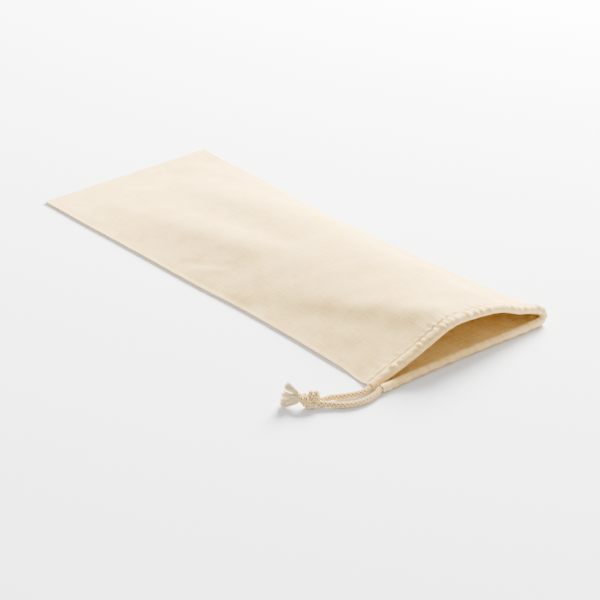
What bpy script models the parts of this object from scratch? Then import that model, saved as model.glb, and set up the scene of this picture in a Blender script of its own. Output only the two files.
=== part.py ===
"""Drawstring bread bag in plain cotton cloth, lying open-mouthed on a flat surface.

The bag is one length of cloth folded at the closed end and sewn up both sides. Each panel's
mouth edge is turned over into a casing, and one braided cord runs through both casings, out
at the near corner, into an overhand knot with frayed ends.

Frame: metres, +Z up, +X along the bag towards the mouth, +Y towards the far side seam. The
origin is the middle of the bag's footprint, at the height of the surface it lies on.
"""
import functools
import math
from typing import NamedTuple

import bmesh
import bpy
import numpy as np
from mathutils import Vector

MM = 0.001

# Bag, measured from the fold at the closed end
FOLD_X = -309.34 * MM
SIDE_Y = 2.1 * MM
WIDTH = 250.0 * MM
WALL = 1.2 * MM
SEAM_WIDTH = 6.0 * MM
SEAM_THICKNESS = 1.8 * MM
SEAM_TURN = 1.2 * MM
SEAM_ANGLE = math.radians(80)
SEAM_RISE = 0.3 * MM
FOLD_WIDTH = 2.5 * MM
STITCH_THICKNESS = 1.6 * MM
NECK_STATION_SIZE = 588.0 * MM

# Drawcord and the casings it runs in
CORD_DIAMETER = 6.2 * MM
CORD_CLEARANCE = 0.5 * MM
CASING_WALL = 1.0 * MM
CASING_FLAT = 12.5 * MM
CASING_PROUD = 1.5 * MM
PROUD_FADE = 0.08
SLIT_RETREAT = 0.6 * MM
UPPER_OVERHANG = 1.25 * MM
LOWER_OVERHANG = 0.8 * MM
GAP = 0.3 * MM
CHANNEL_RADIUS = (CORD_DIAMETER / 2 + CORD_CLEARANCE) / math.cos(math.pi / 8)
ROLL_RADIUS = CHANNEL_RADIUS + CASING_WALL
CASING_SIZE = NECK_STATION_SIZE + CASING_FLAT - ROLL_RADIUS

# Mesh steps along the bag and across it
STATIONS_ALONG = 21
COLUMNS_WIDE = 16
COLUMNS_FINE = 8
FINE_SHARE = 0.14
PATH_SAMPLES = 240
TURN_STEPS = 24
ROUTE_SAMPLES = 24
NORMAL_REACH = 1.5 * MM
FLAT_LIMIT = 1e-6 * MM
RING = 4
LOWER_LEVELS = 5
LEVELS = 10
CAVITY_LAYER = 4


class Section(NamedTuple):
    """One cross-section of the bag. Lengths are in millimetres, the turn is in degrees."""

    size: float
    near: float
    far: float
    crown: float
    crest: float
    dip: float
    curl: float
    turn: float
    rise: float
    lift: float


# size: distance from the fold. near, far: the outermost Y of each side. crown, crest: height of
# the top panel's ridge and its Y. dip: depth of the trough along the middle. curl, turn, rise:
# radius, angle and straight end of the bottom panel where it curls up at the far side. lift:
# height of the top panel over the bottom one at the near side.
SECTIONS = (
    Section(0, -127.0, 122.8, 3.2, 0, 0.0, 1.2, 80, 0.3, 0.0),
    Section(35, -127.0, 119.6, 5.0, 4, 0.4, 1.2, 80, 0.3, 0.0),
    Section(90, -126.8, 118.0, 13.5, 10, 2.0, 1.2, 80, 0.3, 0.0),
    Section(150, -125.6, 115.2, 22.0, 16, 4.0, 1.2, 80, 0.3, 0.0),
    Section(215, -124.7, 110.2, 29.5, 18, 4.6, 1.2, 80, 0.3, 0.0),
    Section(300, -123.9, 109.2, 35.5, 16, 3.6, 1.2, 80, 0.3, 0.0),
    Section(380, -120.9, 111.0, 39.0, 13, 2.0, 1.4, 82, 0.3, 0.0),
    Section(460, -121.1, 112.6, 41.5, 10, 0.6, 2.0, 88, 0.4, 0.0),
    Section(540, -123.4, 112.2, 42.8, 10, 0.0, 4.2, 104, 1.0, 0.0),
    Section(570, -124.2, 110.6, 43.0, 11, 0.0, 6.6, 126, 2.8, 0.0),
    Section(588, -124.4, 110.4, 43.0, 12, 0.0, 9.4, 146, 3.8, 3.8),
    Section(596, -124.6, 110.8, 43.0, 12, 0.0, 10.8, 154, 4.0, 7.2),
)

DIP_Y = -6.0 * MM
DIP_WIDTH = 26.0 * MM
NEAR_EASE = 1.12
FAR_EASE = 0.92


class HemPoint(NamedTuple):
    """How far the two hems reach from the fold, in millimetres, at one share of the width."""

    share: float
    upper: float
    lower: float


HEMS = (
    HemPoint(0.0, 598.0, 608.0),
    HemPoint(0.10, 600.0, 608.5),
    HemPoint(0.25, 603.0, 609.5),
    HemPoint(0.42, 606.0, 611.5),
    HemPoint(0.62, 607.0, 615.0),
    HemPoint(0.80, 609.0, 618.5),
    HemPoint(0.88, 611.0, 618.5),
    HemPoint(0.94, 612.0, 617.0),
    HemPoint(1.0, 613.4, 614.4),
)

# Middle of the cord's free ends beyond the near corner, in millimetres
UPPER_ROUTE = ((285.4, -132, 6.3), (284.6, -141, 5.3), (282.2, -150, 4.3), (278.7, -158.5, 3.6),
               (275.0, -165.5, 3.6), (272.4, -171.5, 4.2))
LOWER_ROUTE = ((296.3, -131, 4.4), (297.9, -140, 3.8), (297.9, -150, 3.4), (296.0, -159, 3.3),
               (292.2, -167.5, 3.3), (286.6, -174.4, 3.3), (281.6, -180.0, 3.8))
UPPER_ENTRY_TURN = 0.28
LOWER_ENTRY_TURN = -0.42
ROUTE_STEP = 1.6 * CORD_DIAMETER
EXIT_STRAIGHT = 3.0 * MM

# Overhand knot and the frayed brush behind it
KNOT_CENTRE = Vector((265.0, -193.0, 8.0)) * MM
KNOT_AZIMUTH = math.radians(226.0)
BRUSH_TURN = math.radians(-12.0)
WRAP_RADIUS = 4.8 * MM
WRAP_STRAND = 3.4 * MM
WRAP_TURNS = 1.55
WRAP_SPREAD = 14.5 * MM
WRAP_SAMPLES = 64
WRAP_START = -0.35 * math.pi
WRAP_SWAY = 1.4 * MM
KNOT_CORE = 6.0 * MM
ENTRY_DIP = -0.36
KNOT_FLAT = 0.94
KNOT_RINGS = 18
KNOT_SEGMENTS = 26
BRUSH_HEAD_RADIUS = 4.6 * MM
BRUSH_HEAD_LENGTH = 4.0 * MM
BRUSH_CELLS = 6
BRUSH_LENGTH = 23.0 * MM
BRUSH_SPREAD = 0.62
BRUSH_STEPS = 5
BRUSH_LIFT = 0.10
BRUSH_DROOP = 0.22
BRUSH_FLOOR = 1.0 * MM
STRAND_LENGTH_MEAN = 0.86
STRAND_LENGTH_VARIES = 0.14
STRAND_INSET = 0.28 * MM


def clear_scene() -> None:
    """Remove every object that the file opened with."""
    for item in list(bpy.data.objects):
        bpy.data.objects.remove(item, do_unlink=True)


def make_material(name: str, colour: tuple, roughness: float) -> bpy.types.Material:
    """Plain Principled material in one colour."""
    material = bpy.data.materials.new(name)
    material.use_nodes = True
    shader = material.node_tree.nodes["Principled BSDF"]
    shader.inputs["Base Color"].default_value = (*colour, 1.0)
    shader.inputs["Roughness"].default_value = roughness
    shader.inputs["Metallic"].default_value = 0.0
    return material


def add_object(name: str, data, material: bpy.types.Material) -> bpy.types.Object:
    """Link new object data to the scene under a name, with its material."""
    item = bpy.data.objects.new(name, data)
    item.data.materials.append(material)
    bpy.context.collection.objects.link(item)
    return item


def eased(x: float, xs: list, ys: list) -> float:
    """Read a smooth curve through the points (xs, ys) at x, held level beyond its ends."""
    if x <= xs[0]:
        return ys[0]
    if x >= xs[-1]:
        return ys[-1]
    n = max(i for i in range(len(xs) - 1) if xs[i] <= x)
    slopes = [(ys[i + 1] - ys[i]) / (xs[i + 1] - xs[i]) for i in range(len(xs) - 1)]

    def tangent(i: int) -> float:
        if i == 0 or i == len(xs) - 1:
            return slopes[min(i, len(slopes) - 1)]
        return (slopes[i - 1] + slopes[i]) / 2

    span = xs[n + 1] - xs[n]
    u = (x - xs[n]) / span
    return ((2 * u**3 - 3 * u**2 + 1) * ys[n] + (u**3 - 2 * u**2 + u) * span * tangent(n)
            + (3 * u**2 - 2 * u**3) * ys[n + 1] + (u**3 - u**2) * span * tangent(n + 1))


def section_at(size: float) -> Section:
    """The bag's section at a distance from the fold in metres, its lengths in metres."""
    xs = [row.size for row in SECTIONS]
    values = {}
    for field in Section._fields:
        values[field] = eased(size / MM, xs, [getattr(row, field) for row in SECTIONS])
    lengths = {key: value * MM for key, value in values.items() if key != "turn"}
    return Section(turn=math.radians(values["turn"]), **lengths)


def turned_end(radius: float, turn: float, rise: float) -> list:
    """Points (out, up) of a sheet that turns up at its side, from the surface to its end."""
    angles = [turn * i / TURN_STEPS for i in range(TURN_STEPS + 1)]
    points = [(radius * math.sin(angle), radius * (1 - math.cos(angle))) for angle in angles]
    out, up = points[-1]
    points.append((out + rise * math.cos(turn), up + rise * math.sin(turn)))
    return points


def lower_path(row: Section) -> np.ndarray:
    """Outer line of the bottom panel across the bag, as (Y, Z) from the near to the far seam."""
    near = turned_end(SEAM_TURN, SEAM_ANGLE, SEAM_RISE)
    far = turned_end(row.curl, row.turn, row.rise)
    near_base = row.near + max(p[0] for p in near)
    far_base = row.far - max(p[0] for p in far)
    points = [(near_base - out, up) for out, up in reversed(near)]
    points += [(far_base + out, up) for out, up in far]
    return np.array(points)


def step_beyond(line: np.ndarray, distance: float) -> np.ndarray:
    """The point that lies a distance past the last point of a line."""
    along = line[-1] - line[-2]
    return line[-1] + along / np.linalg.norm(along) * distance


def upper_path(row: Section, lower: np.ndarray) -> np.ndarray:
    """Outer line of the top panel across the bag, from the near to the far seam."""
    start = step_beyond(lower[::-1], SEAM_THICKNESS) + np.array([0.0, row.lift])
    end = step_beyond(lower, SEAM_THICKNESS)
    points = []
    for y in np.linspace(start[0], end[0], PATH_SAMPLES):
        if y < row.crest:
            foot, ease = start, NEAR_EASE
        else:
            foot, ease = end, FAR_EASE
        u = abs((y - row.crest) / (foot[0] - row.crest))
        arch = max(math.cos(math.pi / 2 * u), 0.0) ** ease
        trough = row.dip * math.exp(-((y - DIP_Y) / DIP_WIDTH) ** 2)
        points.append((y, foot[1] + (row.crown - foot[1]) * arch - trough))
    return np.array(points)


@functools.lru_cache(maxsize=None)
def panel_line(upper: bool, size: float) -> np.ndarray:
    """Outer line of one panel across the bag, at a distance from the fold."""
    row = section_at(size)
    lower = lower_path(row)
    return upper_path(row, lower) if upper else lower


@functools.lru_cache(maxsize=None)
def casing_line(upper: bool) -> np.ndarray:
    """Outer line of one panel at its casing, which runs on past the near seam and lies level."""
    line = panel_line(upper, CASING_SIZE)
    if upper:
        first = line[0] + np.array([-UPPER_OVERHANG, 0.0])
        return np.vstack((first, line))
    first = np.array([line[:, 0].min() - LOWER_OVERHANG, 0.0])
    flat = [point for point in line if point[1] < FLAT_LIMIT or point[0] > 0]
    return np.vstack((first, flat))


def along_path(line: np.ndarray, share: float) -> tuple:
    """The point at a share of a line's length, and the unit normal to its left."""
    lengths = np.concatenate(([0.0], np.cumsum(np.linalg.norm(np.diff(line, axis=0), axis=1))))

    def at(distance: float) -> np.ndarray:
        return np.array([np.interp(distance, lengths, line[:, axis]) for axis in (0, 1)])

    place = share * lengths[-1]
    along = at(min(place + NORMAL_REACH, lengths[-1])) - at(max(place - NORMAL_REACH, 0.0))
    along /= np.linalg.norm(along)
    return at(place), np.array([-along[1], along[0]])


def column_shares() -> list:
    """Shares of the width at which the mesh has a column, closer together at the far side."""
    seam = SEAM_WIDTH / WIDTH
    wide = np.linspace(seam, 1 - FINE_SHARE, COLUMNS_WIDE + 1)
    fine = np.linspace(1 - FINE_SHARE, 1 - seam, COLUMNS_FINE + 1)[1:]
    return [0.0, *wide, *fine, 1.0]


def hem_reach(share: float, upper: bool) -> float:
    """Distance from the fold to the edge of a hem, at a share of the width."""
    field = "upper" if upper else "lower"
    return eased(share, [p.share for p in HEMS], [getattr(p, field) for p in HEMS]) * MM


def ring_point(u: int, v: int) -> tuple:
    """Place of a grid point of the casing's ring, as (along, out) from the cord's centre."""
    reach = max(abs(u), abs(v))
    if abs(u) >= abs(v):
        angle = math.pi / 4 * v / reach
        angle = angle if u > 0 else math.pi - angle
    else:
        angle = math.pi / 2 - math.pi / 4 * u / reach
        angle = angle if v > 0 else -angle
    radius = ROLL_RADIUS if reach == 2 else CHANNEL_RADIUS
    return radius * math.cos(angle), radius * math.sin(angle)


class ClothLattice:
    """Grid of mesh corners through the bag: stations along it, columns across, levels up.

    Levels 0 to 4 lie in the bottom panel and 5 to 9 in the top panel. The last four steps along
    the bag are the casings, where the middle levels spread into a ring round the cord.
    """

    def __init__(self) -> None:
        """Work out the stations and columns."""
        self.shares = column_shares()
        neck = np.linspace(0, 1, STATIONS_ALONG - 1)[1:]
        fold = FOLD_WIDTH / NECK_STATION_SIZE
        self.stations = [0.0, fold, *[fold + (1 - fold) * float(v) for v in neck]]
        self.neck = len(self.stations) - 1
        self.last = self.neck + RING

    @functools.lru_cache(maxsize=None)
    def outline(self, station: int, column: int, upper: bool) -> tuple:
        """Place along the bag, outer point and normal for one station and column."""
        share = self.shares[column]
        neck = hem_reach(share, upper) - CASING_FLAT
        fraction = self.stations[min(station, self.neck)]
        if station > self.neck:
            line = casing_line(upper)
            share = min(share, 1 - SLIT_RETREAT / WIDTH)
        else:
            line = panel_line(upper, NECK_STATION_SIZE * fraction)
        point, normal = along_path(line, share)
        return neck * fraction, point, normal

    @staticmethod
    def place(along: float, point: np.ndarray) -> Vector:
        """World position from a distance along the bag and a point (Y, Z) of its section."""
        return Vector((FOLD_X + along, point[0] + SIDE_Y, point[1]))

    def cord_centre(self, column: int, upper: bool) -> Vector:
        """Centre of the cord's channel at a column."""
        reach, point, normal = self.outline(self.last, column, upper)
        along = reach + CASING_FLAT - ROLL_RADIUS
        proud = CASING_PROUD * min((1 - self.shares[column]) / PROUD_FADE, 1.0)
        drop = proud - ROLL_RADIUS if upper else ROLL_RADIUS
        return self.place(along, point + normal * drop)

    def corner(self, station: int, column: int, level: int) -> Vector:
        """Position of one mesh corner."""
        upper = level >= LOWER_LEVELS
        depth = LEVELS - 1 - level if upper else level
        inward = -1.0 if upper else 1.0
        if station <= self.neck:
            reach, point, normal = self.outline(station, column, upper)
            wall = STITCH_THICKNESS if station == self.neck else WALL
            return self.place(reach, point + normal * inward * wall * depth / RING)
        u = station - self.neck - 2
        v = depth - 2
        normal = self.outline(station, column, upper)[2]
        along, out = ring_point(u, v) if (u, v) != (0, 0) else (0.0, 0.0)
        y, z = normal * inward * out
        return self.cord_centre(column, upper) + Vector((along, y, z))

    def filled(self, station: int, column: int, layer: int) -> bool:
        """Whether the cell that starts at a station, column and layer holds cloth."""
        columns = len(self.shares) - 1
        if not (0 <= station < self.last and 0 <= column < columns and 0 <= layer < LEVELS - 1):
            return False
        if layer == CAVITY_LAYER:
            sewn = column in (0, columns - 1) and station < self.neck
            return station == 0 or sewn
        channel = layer in (1, 2, 6, 7) and self.neck < station < self.last - 1
        return not channel


def build_cloth(lattice: ClothLattice, material: bpy.types.Material) -> bpy.types.Object:
    """The bag's cloth as one solid: both panels, the seams and the two open casings."""
    sheet = bmesh.new()
    corners = {}

    def vertex(key: tuple) -> bmesh.types.BMVert:
        if key not in corners:
            corners[key] = sheet.verts.new(lattice.corner(*key))
        return corners[key]

    sides = (
        ((-1, 0, 0), ((0, 0, 0), (0, 0, 1), (0, 1, 1), (0, 1, 0))),
        ((1, 0, 0), ((1, 0, 0), (1, 1, 0), (1, 1, 1), (1, 0, 1))),
        ((0, -1, 0), ((0, 0, 0), (1, 0, 0), (1, 0, 1), (0, 0, 1))),
        ((0, 1, 0), ((0, 1, 0), (0, 1, 1), (1, 1, 1), (1, 1, 0))),
        ((0, 0, -1), ((0, 0, 0), (0, 1, 0), (1, 1, 0), (1, 0, 0))),
        ((0, 0, 1), ((0, 0, 1), (1, 0, 1), (1, 1, 1), (0, 1, 1))),
    )
    for cell in np.ndindex(lattice.last, len(lattice.shares) - 1, LEVELS - 1):
        if not lattice.filled(*cell):
            continue
        for step, ring in sides:
            beside = tuple(c + d for c, d in zip(cell, step))
            if not lattice.filled(*beside):
                keys = [tuple(c + d for c, d in zip(cell, offset)) for offset in ring]
                sheet.faces.new([vertex(key) for key in keys])
    bmesh.ops.triangulate(sheet, faces=sheet.faces)
    mesh = bpy.data.meshes.new("bag_cloth")
    sheet.to_mesh(mesh)
    sheet.free()
    mesh.shade_smooth()
    mesh.set_sharp_from_angle(angle=math.radians(50))
    return add_object("bag_cloth", mesh, material)


def smooth_route(points: list, step: float) -> list:
    """Evenly spaced points on a smooth curve through a route's own points."""
    places = [Vector(p) for p in points]
    ends = [places[0] * 2 - places[1], *places, places[-1] * 2 - places[-2]]
    dense = []
    for a, b, c, d in zip(ends, ends[1:], ends[2:], ends[3:]):
        for i in range(ROUTE_SAMPLES):
            u = i / ROUTE_SAMPLES
            dense.append(((b * 2) + (c - a) * u + (a * 2 - b * 5 + c * 4 - d) * u**2
                          + (b * 3 - a - c * 3 + d) * u**3) / 2)
    dense.append(places[-1])
    travelled = [0.0]
    for a, b in zip(dense, dense[1:]):
        travelled.append(travelled[-1] + (b - a).length)
    count = max(round(travelled[-1] / step), 4)
    even = np.linspace(0.0, travelled[-1], count + 1)
    return [Vector([float(np.interp(s, travelled, [p[axis] for p in dense])) for axis in range(3)])
            for s in even]


def build_tube(name: str, points: list, material: bpy.types.Material) -> bpy.types.Object:
    """A round cord along a list of points."""
    curve = bpy.data.curves.new(name, "CURVE")
    curve.dimensions = "3D"
    curve.bevel_depth = CORD_DIAMETER / 2
    curve.bevel_resolution = 2
    curve.use_fill_caps = True
    spline = curve.splines.new("POLY")
    spline.points.add(len(points) - 1)
    for target, point in zip(spline.points, points):
        target.co = (*point, 1.0)
    spline.use_smooth = True
    return add_object(name, curve, material)


def casing_run(lattice: ClothLattice) -> list:
    """Centres of the drawcord inside the casings: out along the top one, back in the bottom."""
    columns = range(len(lattice.shares))
    out = [lattice.cord_centre(column, True) for column in columns]
    back = [lattice.cord_centre(column, False) for column in reversed(columns)]
    return out + back


def free_end(end: Vector, before: Vector, route: tuple, entry_turn: float) -> list:
    """Points of a free cord end: a gap past the run's end, straight out, then to the knot."""
    outward = (end - before).normalized()
    places = [end + outward * EXIT_STRAIGHT, *[Vector(p) * MM for p in route]]
    return [end + outward * GAP, *smooth_route([*places, knot_entry(entry_turn)], ROUTE_STEP)]


def wrap_points() -> list:
    """Centres of the strand that winds round the knot, about the knot's own middle."""
    points = []
    for u in np.linspace(0.0, 1.0, WRAP_SAMPLES):
        angle = 2 * math.pi * WRAP_TURNS * u + WRAP_START
        across = WRAP_RADIUS * math.cos(angle)
        up = WRAP_RADIUS * math.sin(angle)
        along = WRAP_SPREAD * (0.5 - u) + WRAP_SWAY * math.sin(angle)
        points.append(Vector((along, across, up)))
    return points


def knot_reach(direction: Vector, wraps: list) -> float:
    """Distance from the knot's middle to its surface along a unit direction."""
    reach = KNOT_CORE
    for centre in wraps:
        forward = direction.dot(centre)
        off = (centre - direction * forward).length
        if off < WRAP_STRAND:
            reach = max(reach, forward + math.sqrt(WRAP_STRAND**2 - off**2))
    return reach


def knot_axes() -> tuple:
    """Unit vectors of the knot: from the strands towards the frayed ends, across, and up."""
    along = Vector((math.cos(KNOT_AZIMUTH), math.sin(KNOT_AZIMUTH), 0.0))
    up = Vector((0.0, 0.0, 1.0))
    return along, up.cross(along), up


def brush_axes() -> tuple:
    """Unit vectors of the brush, which turns a little from the knot's own direction."""
    along, across, up = knot_axes()
    turned = along * math.cos(BRUSH_TURN) + across * math.sin(BRUSH_TURN)
    return turned, up.cross(turned), up


def knot_place(local: Vector) -> Vector:
    """World position of a point given about the knot's middle."""
    along, across, up = knot_axes()
    return KNOT_CENTRE - along * local.x - across * local.y + up * local.z * KNOT_FLAT


def build_knot(material: bpy.types.Material) -> bpy.types.Object:
    """The pulled-tight overhand knot as one lumpy solid with its wound ridges."""
    wraps = wrap_points()
    knot = bmesh.new()
    bmesh.ops.create_uvsphere(knot, u_segments=KNOT_SEGMENTS, v_segments=KNOT_RINGS, radius=1.0)
    for vert in knot.verts:
        local = vert.co.normalized()
        vert.co = knot_place(local * knot_reach(local, wraps))
    mesh = bpy.data.meshes.new("knot")
    knot.to_mesh(mesh)
    knot.free()
    mesh.shade_smooth()
    return add_object("knot", mesh, material)


def clear_reach(direction: Vector, radius: float) -> float:
    """Distance from the knot's middle at which a flat disc facing it clears its surface."""
    wraps = wrap_points()
    side = direction.orthogonal().normalized()
    other = direction.cross(side)
    reach = knot_reach(direction, wraps)
    for ring in (0.5, 1.0, 1.3):
        for turn in np.linspace(0, 2 * math.pi, 12, endpoint=False):
            offset = (side * math.cos(turn) + other * math.sin(turn)) * radius * ring
            near = (direction * reach + offset).normalized()
            reach = max(reach, knot_reach(near, wraps) * near.dot(direction))
    return reach


def knot_entry(turn: float) -> Vector:
    """Where a strand meets the knot on its front side, a gap away from the surface."""
    direction = Vector((math.cos(turn), math.sin(turn), ENTRY_DIP)).normalized()
    return knot_place(direction * (clear_reach(direction, CORD_DIAMETER / 2) + 1.5 * GAP))


def brush_offset(cell_y: float, cell_z: float, travel: float) -> Vector:
    """Path of one loose strand of the brush: it leaves the head and fans out, then droops."""
    along, across, up = brush_axes()
    fan = BRUSH_SPREAD * travel * travel
    lift = cell_z * fan + BRUSH_LIFT * travel - BRUSH_DROOP * travel**3 * (1 + cell_z) / 2
    return BRUSH_LENGTH * (along * travel + across * cell_y * fan + up * lift)


def build_brush(material: bpy.types.Material) -> bpy.types.Object:
    """The frayed cord ends: a short head, and loose strands drawn out of its end face."""
    along, across, up = knot_axes()
    exit_reach = clear_reach(Vector((-1.0, 0.0, 0.0)), BRUSH_HEAD_RADIUS)
    root = KNOT_CENTRE + along * (exit_reach + GAP)
    brush = bmesh.new()
    side = np.linspace(-1.0, 1.0, BRUSH_CELLS + 1)

    def disc(a: float, b: float) -> Vector:
        wide = a * math.sqrt(1 - b * b / 2)
        high = b * math.sqrt(1 - a * a / 2)
        return across * wide * BRUSH_HEAD_RADIUS + up * high * BRUSH_HEAD_RADIUS

    grid = [[brush.verts.new(root + disc(a, b)) for b in side] for a in side]
    cells = {}
    for i, j in np.ndindex(BRUSH_CELLS, BRUSH_CELLS):
        ring = (grid[i][j], grid[i + 1][j], grid[i + 1][j + 1], grid[i][j + 1])
        cells[(i, j)] = brush.faces.new(ring)
    flat = list(brush.faces)
    back = bmesh.ops.extrude_face_region(brush, geom=flat, use_keep_orig=True)
    moved = [item for item in back["geom"] if isinstance(item, bmesh.types.BMVert)]
    bmesh.ops.translate(brush, verts=moved, vec=along * BRUSH_HEAD_LENGTH)
    bmesh.ops.recalc_face_normals(brush, faces=brush.faces)
    front = [face for face in brush.faces if face.normal.dot(along) > 0.9]
    bmesh.ops.inset_individual(brush, faces=front, thickness=STRAND_INSET)
    for face in front:
        pull_strand(brush, face, root + along * BRUSH_HEAD_LENGTH)
    bmesh.ops.triangulate(brush, faces=brush.faces)
    mesh = bpy.data.meshes.new("frayed_ends")
    brush.to_mesh(mesh)
    brush.free()
    return add_object("frayed_ends", mesh, material)


def pull_strand(brush: bmesh.types.BMesh, face: bmesh.types.BMFace, root: Vector) -> None:
    """Draw one face of the head out into a loose strand."""
    across, up = knot_axes()[1:]
    centre = face.calc_center_median()
    cell_y = (centre - root).dot(across) / BRUSH_HEAD_RADIUS
    cell_z = (centre - root).dot(up) / BRUSH_HEAD_RADIUS
    length = STRAND_LENGTH_MEAN + STRAND_LENGTH_VARIES * math.sin(7.3 * cell_y + 4.1 * cell_z)
    before = Vector((0.0, 0.0, 0.0))
    for step in range(1, BRUSH_STEPS + 1):
        travel = length * step / BRUSH_STEPS
        offset = brush_offset(cell_y, cell_z, travel)
        low = BRUSH_FLOOR - (centre + offset).z
        if low > 0:
            offset.z += low
        made = bmesh.ops.extrude_discrete_faces(brush, faces=[face])
        face = made["faces"][0]
        bmesh.ops.translate(brush, verts=face.verts, vec=offset - before)
        before = offset


def main() -> None:
    """Build every piece of the bag."""
    clear_scene()
    cloth = make_material("cloth", (0.80, 0.70, 0.54), 0.95)
    cord = make_material("cord", (0.82, 0.72, 0.54), 0.9)
    lattice = ClothLattice()
    build_cloth(lattice, cloth)
    run = casing_run(lattice)
    build_tube("drawcord_run", run, cord)
    upper = free_end(run[0], run[1], UPPER_ROUTE, UPPER_ENTRY_TURN)
    lower = free_end(run[-1], run[-2], LOWER_ROUTE, LOWER_ENTRY_TURN)
    build_tube("cord_end_upper", upper, cord)
    build_tube("cord_end_lower", lower, cord)
    build_knot(cord)
    build_brush(cord)


main()
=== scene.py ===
"""Drawstring bag in plain cotton cloth, lying open-mouthed, dressed for rendering.

The bag's cloth is one closed shell: two panels joined at the fold and the side seams, each with a
puckered casing at the mouth. A braided drawcord runs through the casings into a knot with frayed
ends. Metres, +Z up, +X towards the mouth, +Y towards the far side seam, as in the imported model.
"""

import logging
import math
from dataclasses import dataclass, field
from enum import Enum
from typing import NamedTuple

import bpy
import numpy as np
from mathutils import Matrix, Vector


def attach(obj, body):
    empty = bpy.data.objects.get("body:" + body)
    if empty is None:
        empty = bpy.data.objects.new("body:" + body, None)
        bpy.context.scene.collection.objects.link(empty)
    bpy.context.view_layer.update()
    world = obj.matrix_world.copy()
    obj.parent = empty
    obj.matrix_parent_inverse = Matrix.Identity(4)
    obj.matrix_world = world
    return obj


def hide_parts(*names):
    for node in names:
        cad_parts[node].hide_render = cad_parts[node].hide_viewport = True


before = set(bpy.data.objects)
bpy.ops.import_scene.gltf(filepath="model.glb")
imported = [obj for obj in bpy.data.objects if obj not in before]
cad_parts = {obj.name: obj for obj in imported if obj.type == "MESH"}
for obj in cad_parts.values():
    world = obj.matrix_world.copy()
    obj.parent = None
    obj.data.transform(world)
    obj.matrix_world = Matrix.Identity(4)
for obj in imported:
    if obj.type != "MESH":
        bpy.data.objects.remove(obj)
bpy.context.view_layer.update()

MM = 0.001
log = logging.getLogger("drawstring_bag")


class Panel(Enum):
    """The bag's two panels."""

    UPPER = "upper"
    LOWER = "lower"


class Held(Enum):
    """How a sheet is held."""

    LAID = "laid"


class FarEnd(Enum):
    """What a cord has on its far end."""

    KNOT = "knot"


@dataclass(frozen=True)
class BagSize:
    """Sizes of the bag, as in the part's source."""

    fold_x: float = -309.34 * MM
    side_y: float = 2.1 * MM
    width: float = 250.0 * MM
    neck: float = 588.0 * MM
    seam_thickness: float = 1.8 * MM
    seam_turn: float = 1.2 * MM
    seam_angle: float = math.radians(80)
    seam_rise: float = 0.3 * MM
    dip_y: float = -6.0 * MM
    dip_width: float = 26.0 * MM
    near_ease: float = 1.12
    far_ease: float = 0.92


@dataclass(frozen=True)
class CordSize:
    """Sizes of the drawcord and of the casings it runs in, as in the part's source."""

    diameter: float = 6.2 * MM
    clearance: float = 0.5 * MM
    casing_wall: float = 1.0 * MM
    casing_flat: float = 12.5 * MM
    proud: float = 1.5 * MM
    proud_fade: float = 0.08
    upper_overhang: float = 1.25 * MM
    lower_overhang: float = 0.8 * MM
    slit_retreat: float = 0.6 * MM
    exit_straight: float = 3.0 * MM

    @property
    def channel(self) -> float:
        """Corner radius of the eight-sided channel round the cord."""
        return (self.diameter / 2 + self.clearance) / math.cos(math.pi / 8)

    @property
    def roll(self) -> float:
        """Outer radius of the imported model's casing."""
        return self.channel + self.casing_wall


BAG = BagSize()
CORD = CordSize()
CASING_SIZE = BAG.neck + CORD.casing_flat - CORD.roll


class Section(NamedTuple):
    """One cross-section of the bag. Lengths are in millimetres, the turn is in degrees."""

    size: float
    near: float
    far: float
    crown: float
    crest: float
    dip: float
    curl: float
    turn: float
    rise: float
    lift: float


SECTIONS = (
    Section(0, -127.0, 122.8, 3.2, 0, 0.0, 1.2, 80, 0.3, 0.0),
    Section(35, -127.0, 119.6, 5.0, 4, 0.4, 1.2, 80, 0.3, 0.0),
    Section(90, -126.8, 118.0, 13.5, 10, 2.0, 1.2, 80, 0.3, 0.0),
    Section(150, -125.6, 115.2, 22.0, 16, 4.0, 1.2, 80, 0.3, 0.0),
    Section(215, -124.7, 110.2, 29.5, 18, 4.6, 1.2, 80, 0.3, 0.0),
    Section(300, -123.9, 109.2, 35.5, 16, 3.6, 1.2, 80, 0.3, 0.0),
    Section(380, -120.9, 111.0, 39.0, 13, 2.0, 1.4, 82, 0.3, 0.0),
    Section(460, -121.1, 112.6, 41.5, 10, 0.6, 2.0, 88, 0.4, 0.0),
    Section(540, -123.4, 112.2, 42.8, 10, 0.0, 4.2, 104, 1.0, 0.0),
    Section(570, -124.2, 110.6, 43.0, 11, 0.0, 6.6, 126, 2.8, 0.0),
    Section(588, -124.4, 110.4, 43.0, 12, 0.0, 9.4, 146, 3.8, 3.8),
    Section(596, -124.6, 110.8, 43.0, 12, 0.0, 10.8, 154, 4.0, 7.2),
)


class HemPoint(NamedTuple):
    """How far the two hems reach from the fold, in millimetres, at one share of the width."""

    share: float
    upper: float
    lower: float


HEMS = (
    HemPoint(0.0, 598.0, 608.0),
    HemPoint(0.10, 600.0, 608.5),
    HemPoint(0.25, 603.0, 609.5),
    HemPoint(0.42, 606.0, 611.5),
    HemPoint(0.62, 607.0, 615.0),
    HemPoint(0.80, 609.0, 618.5),
    HemPoint(0.88, 611.0, 618.5),
    HemPoint(0.94, 612.0, 617.0),
    HemPoint(1.0, 613.4, 614.4),
)

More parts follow.
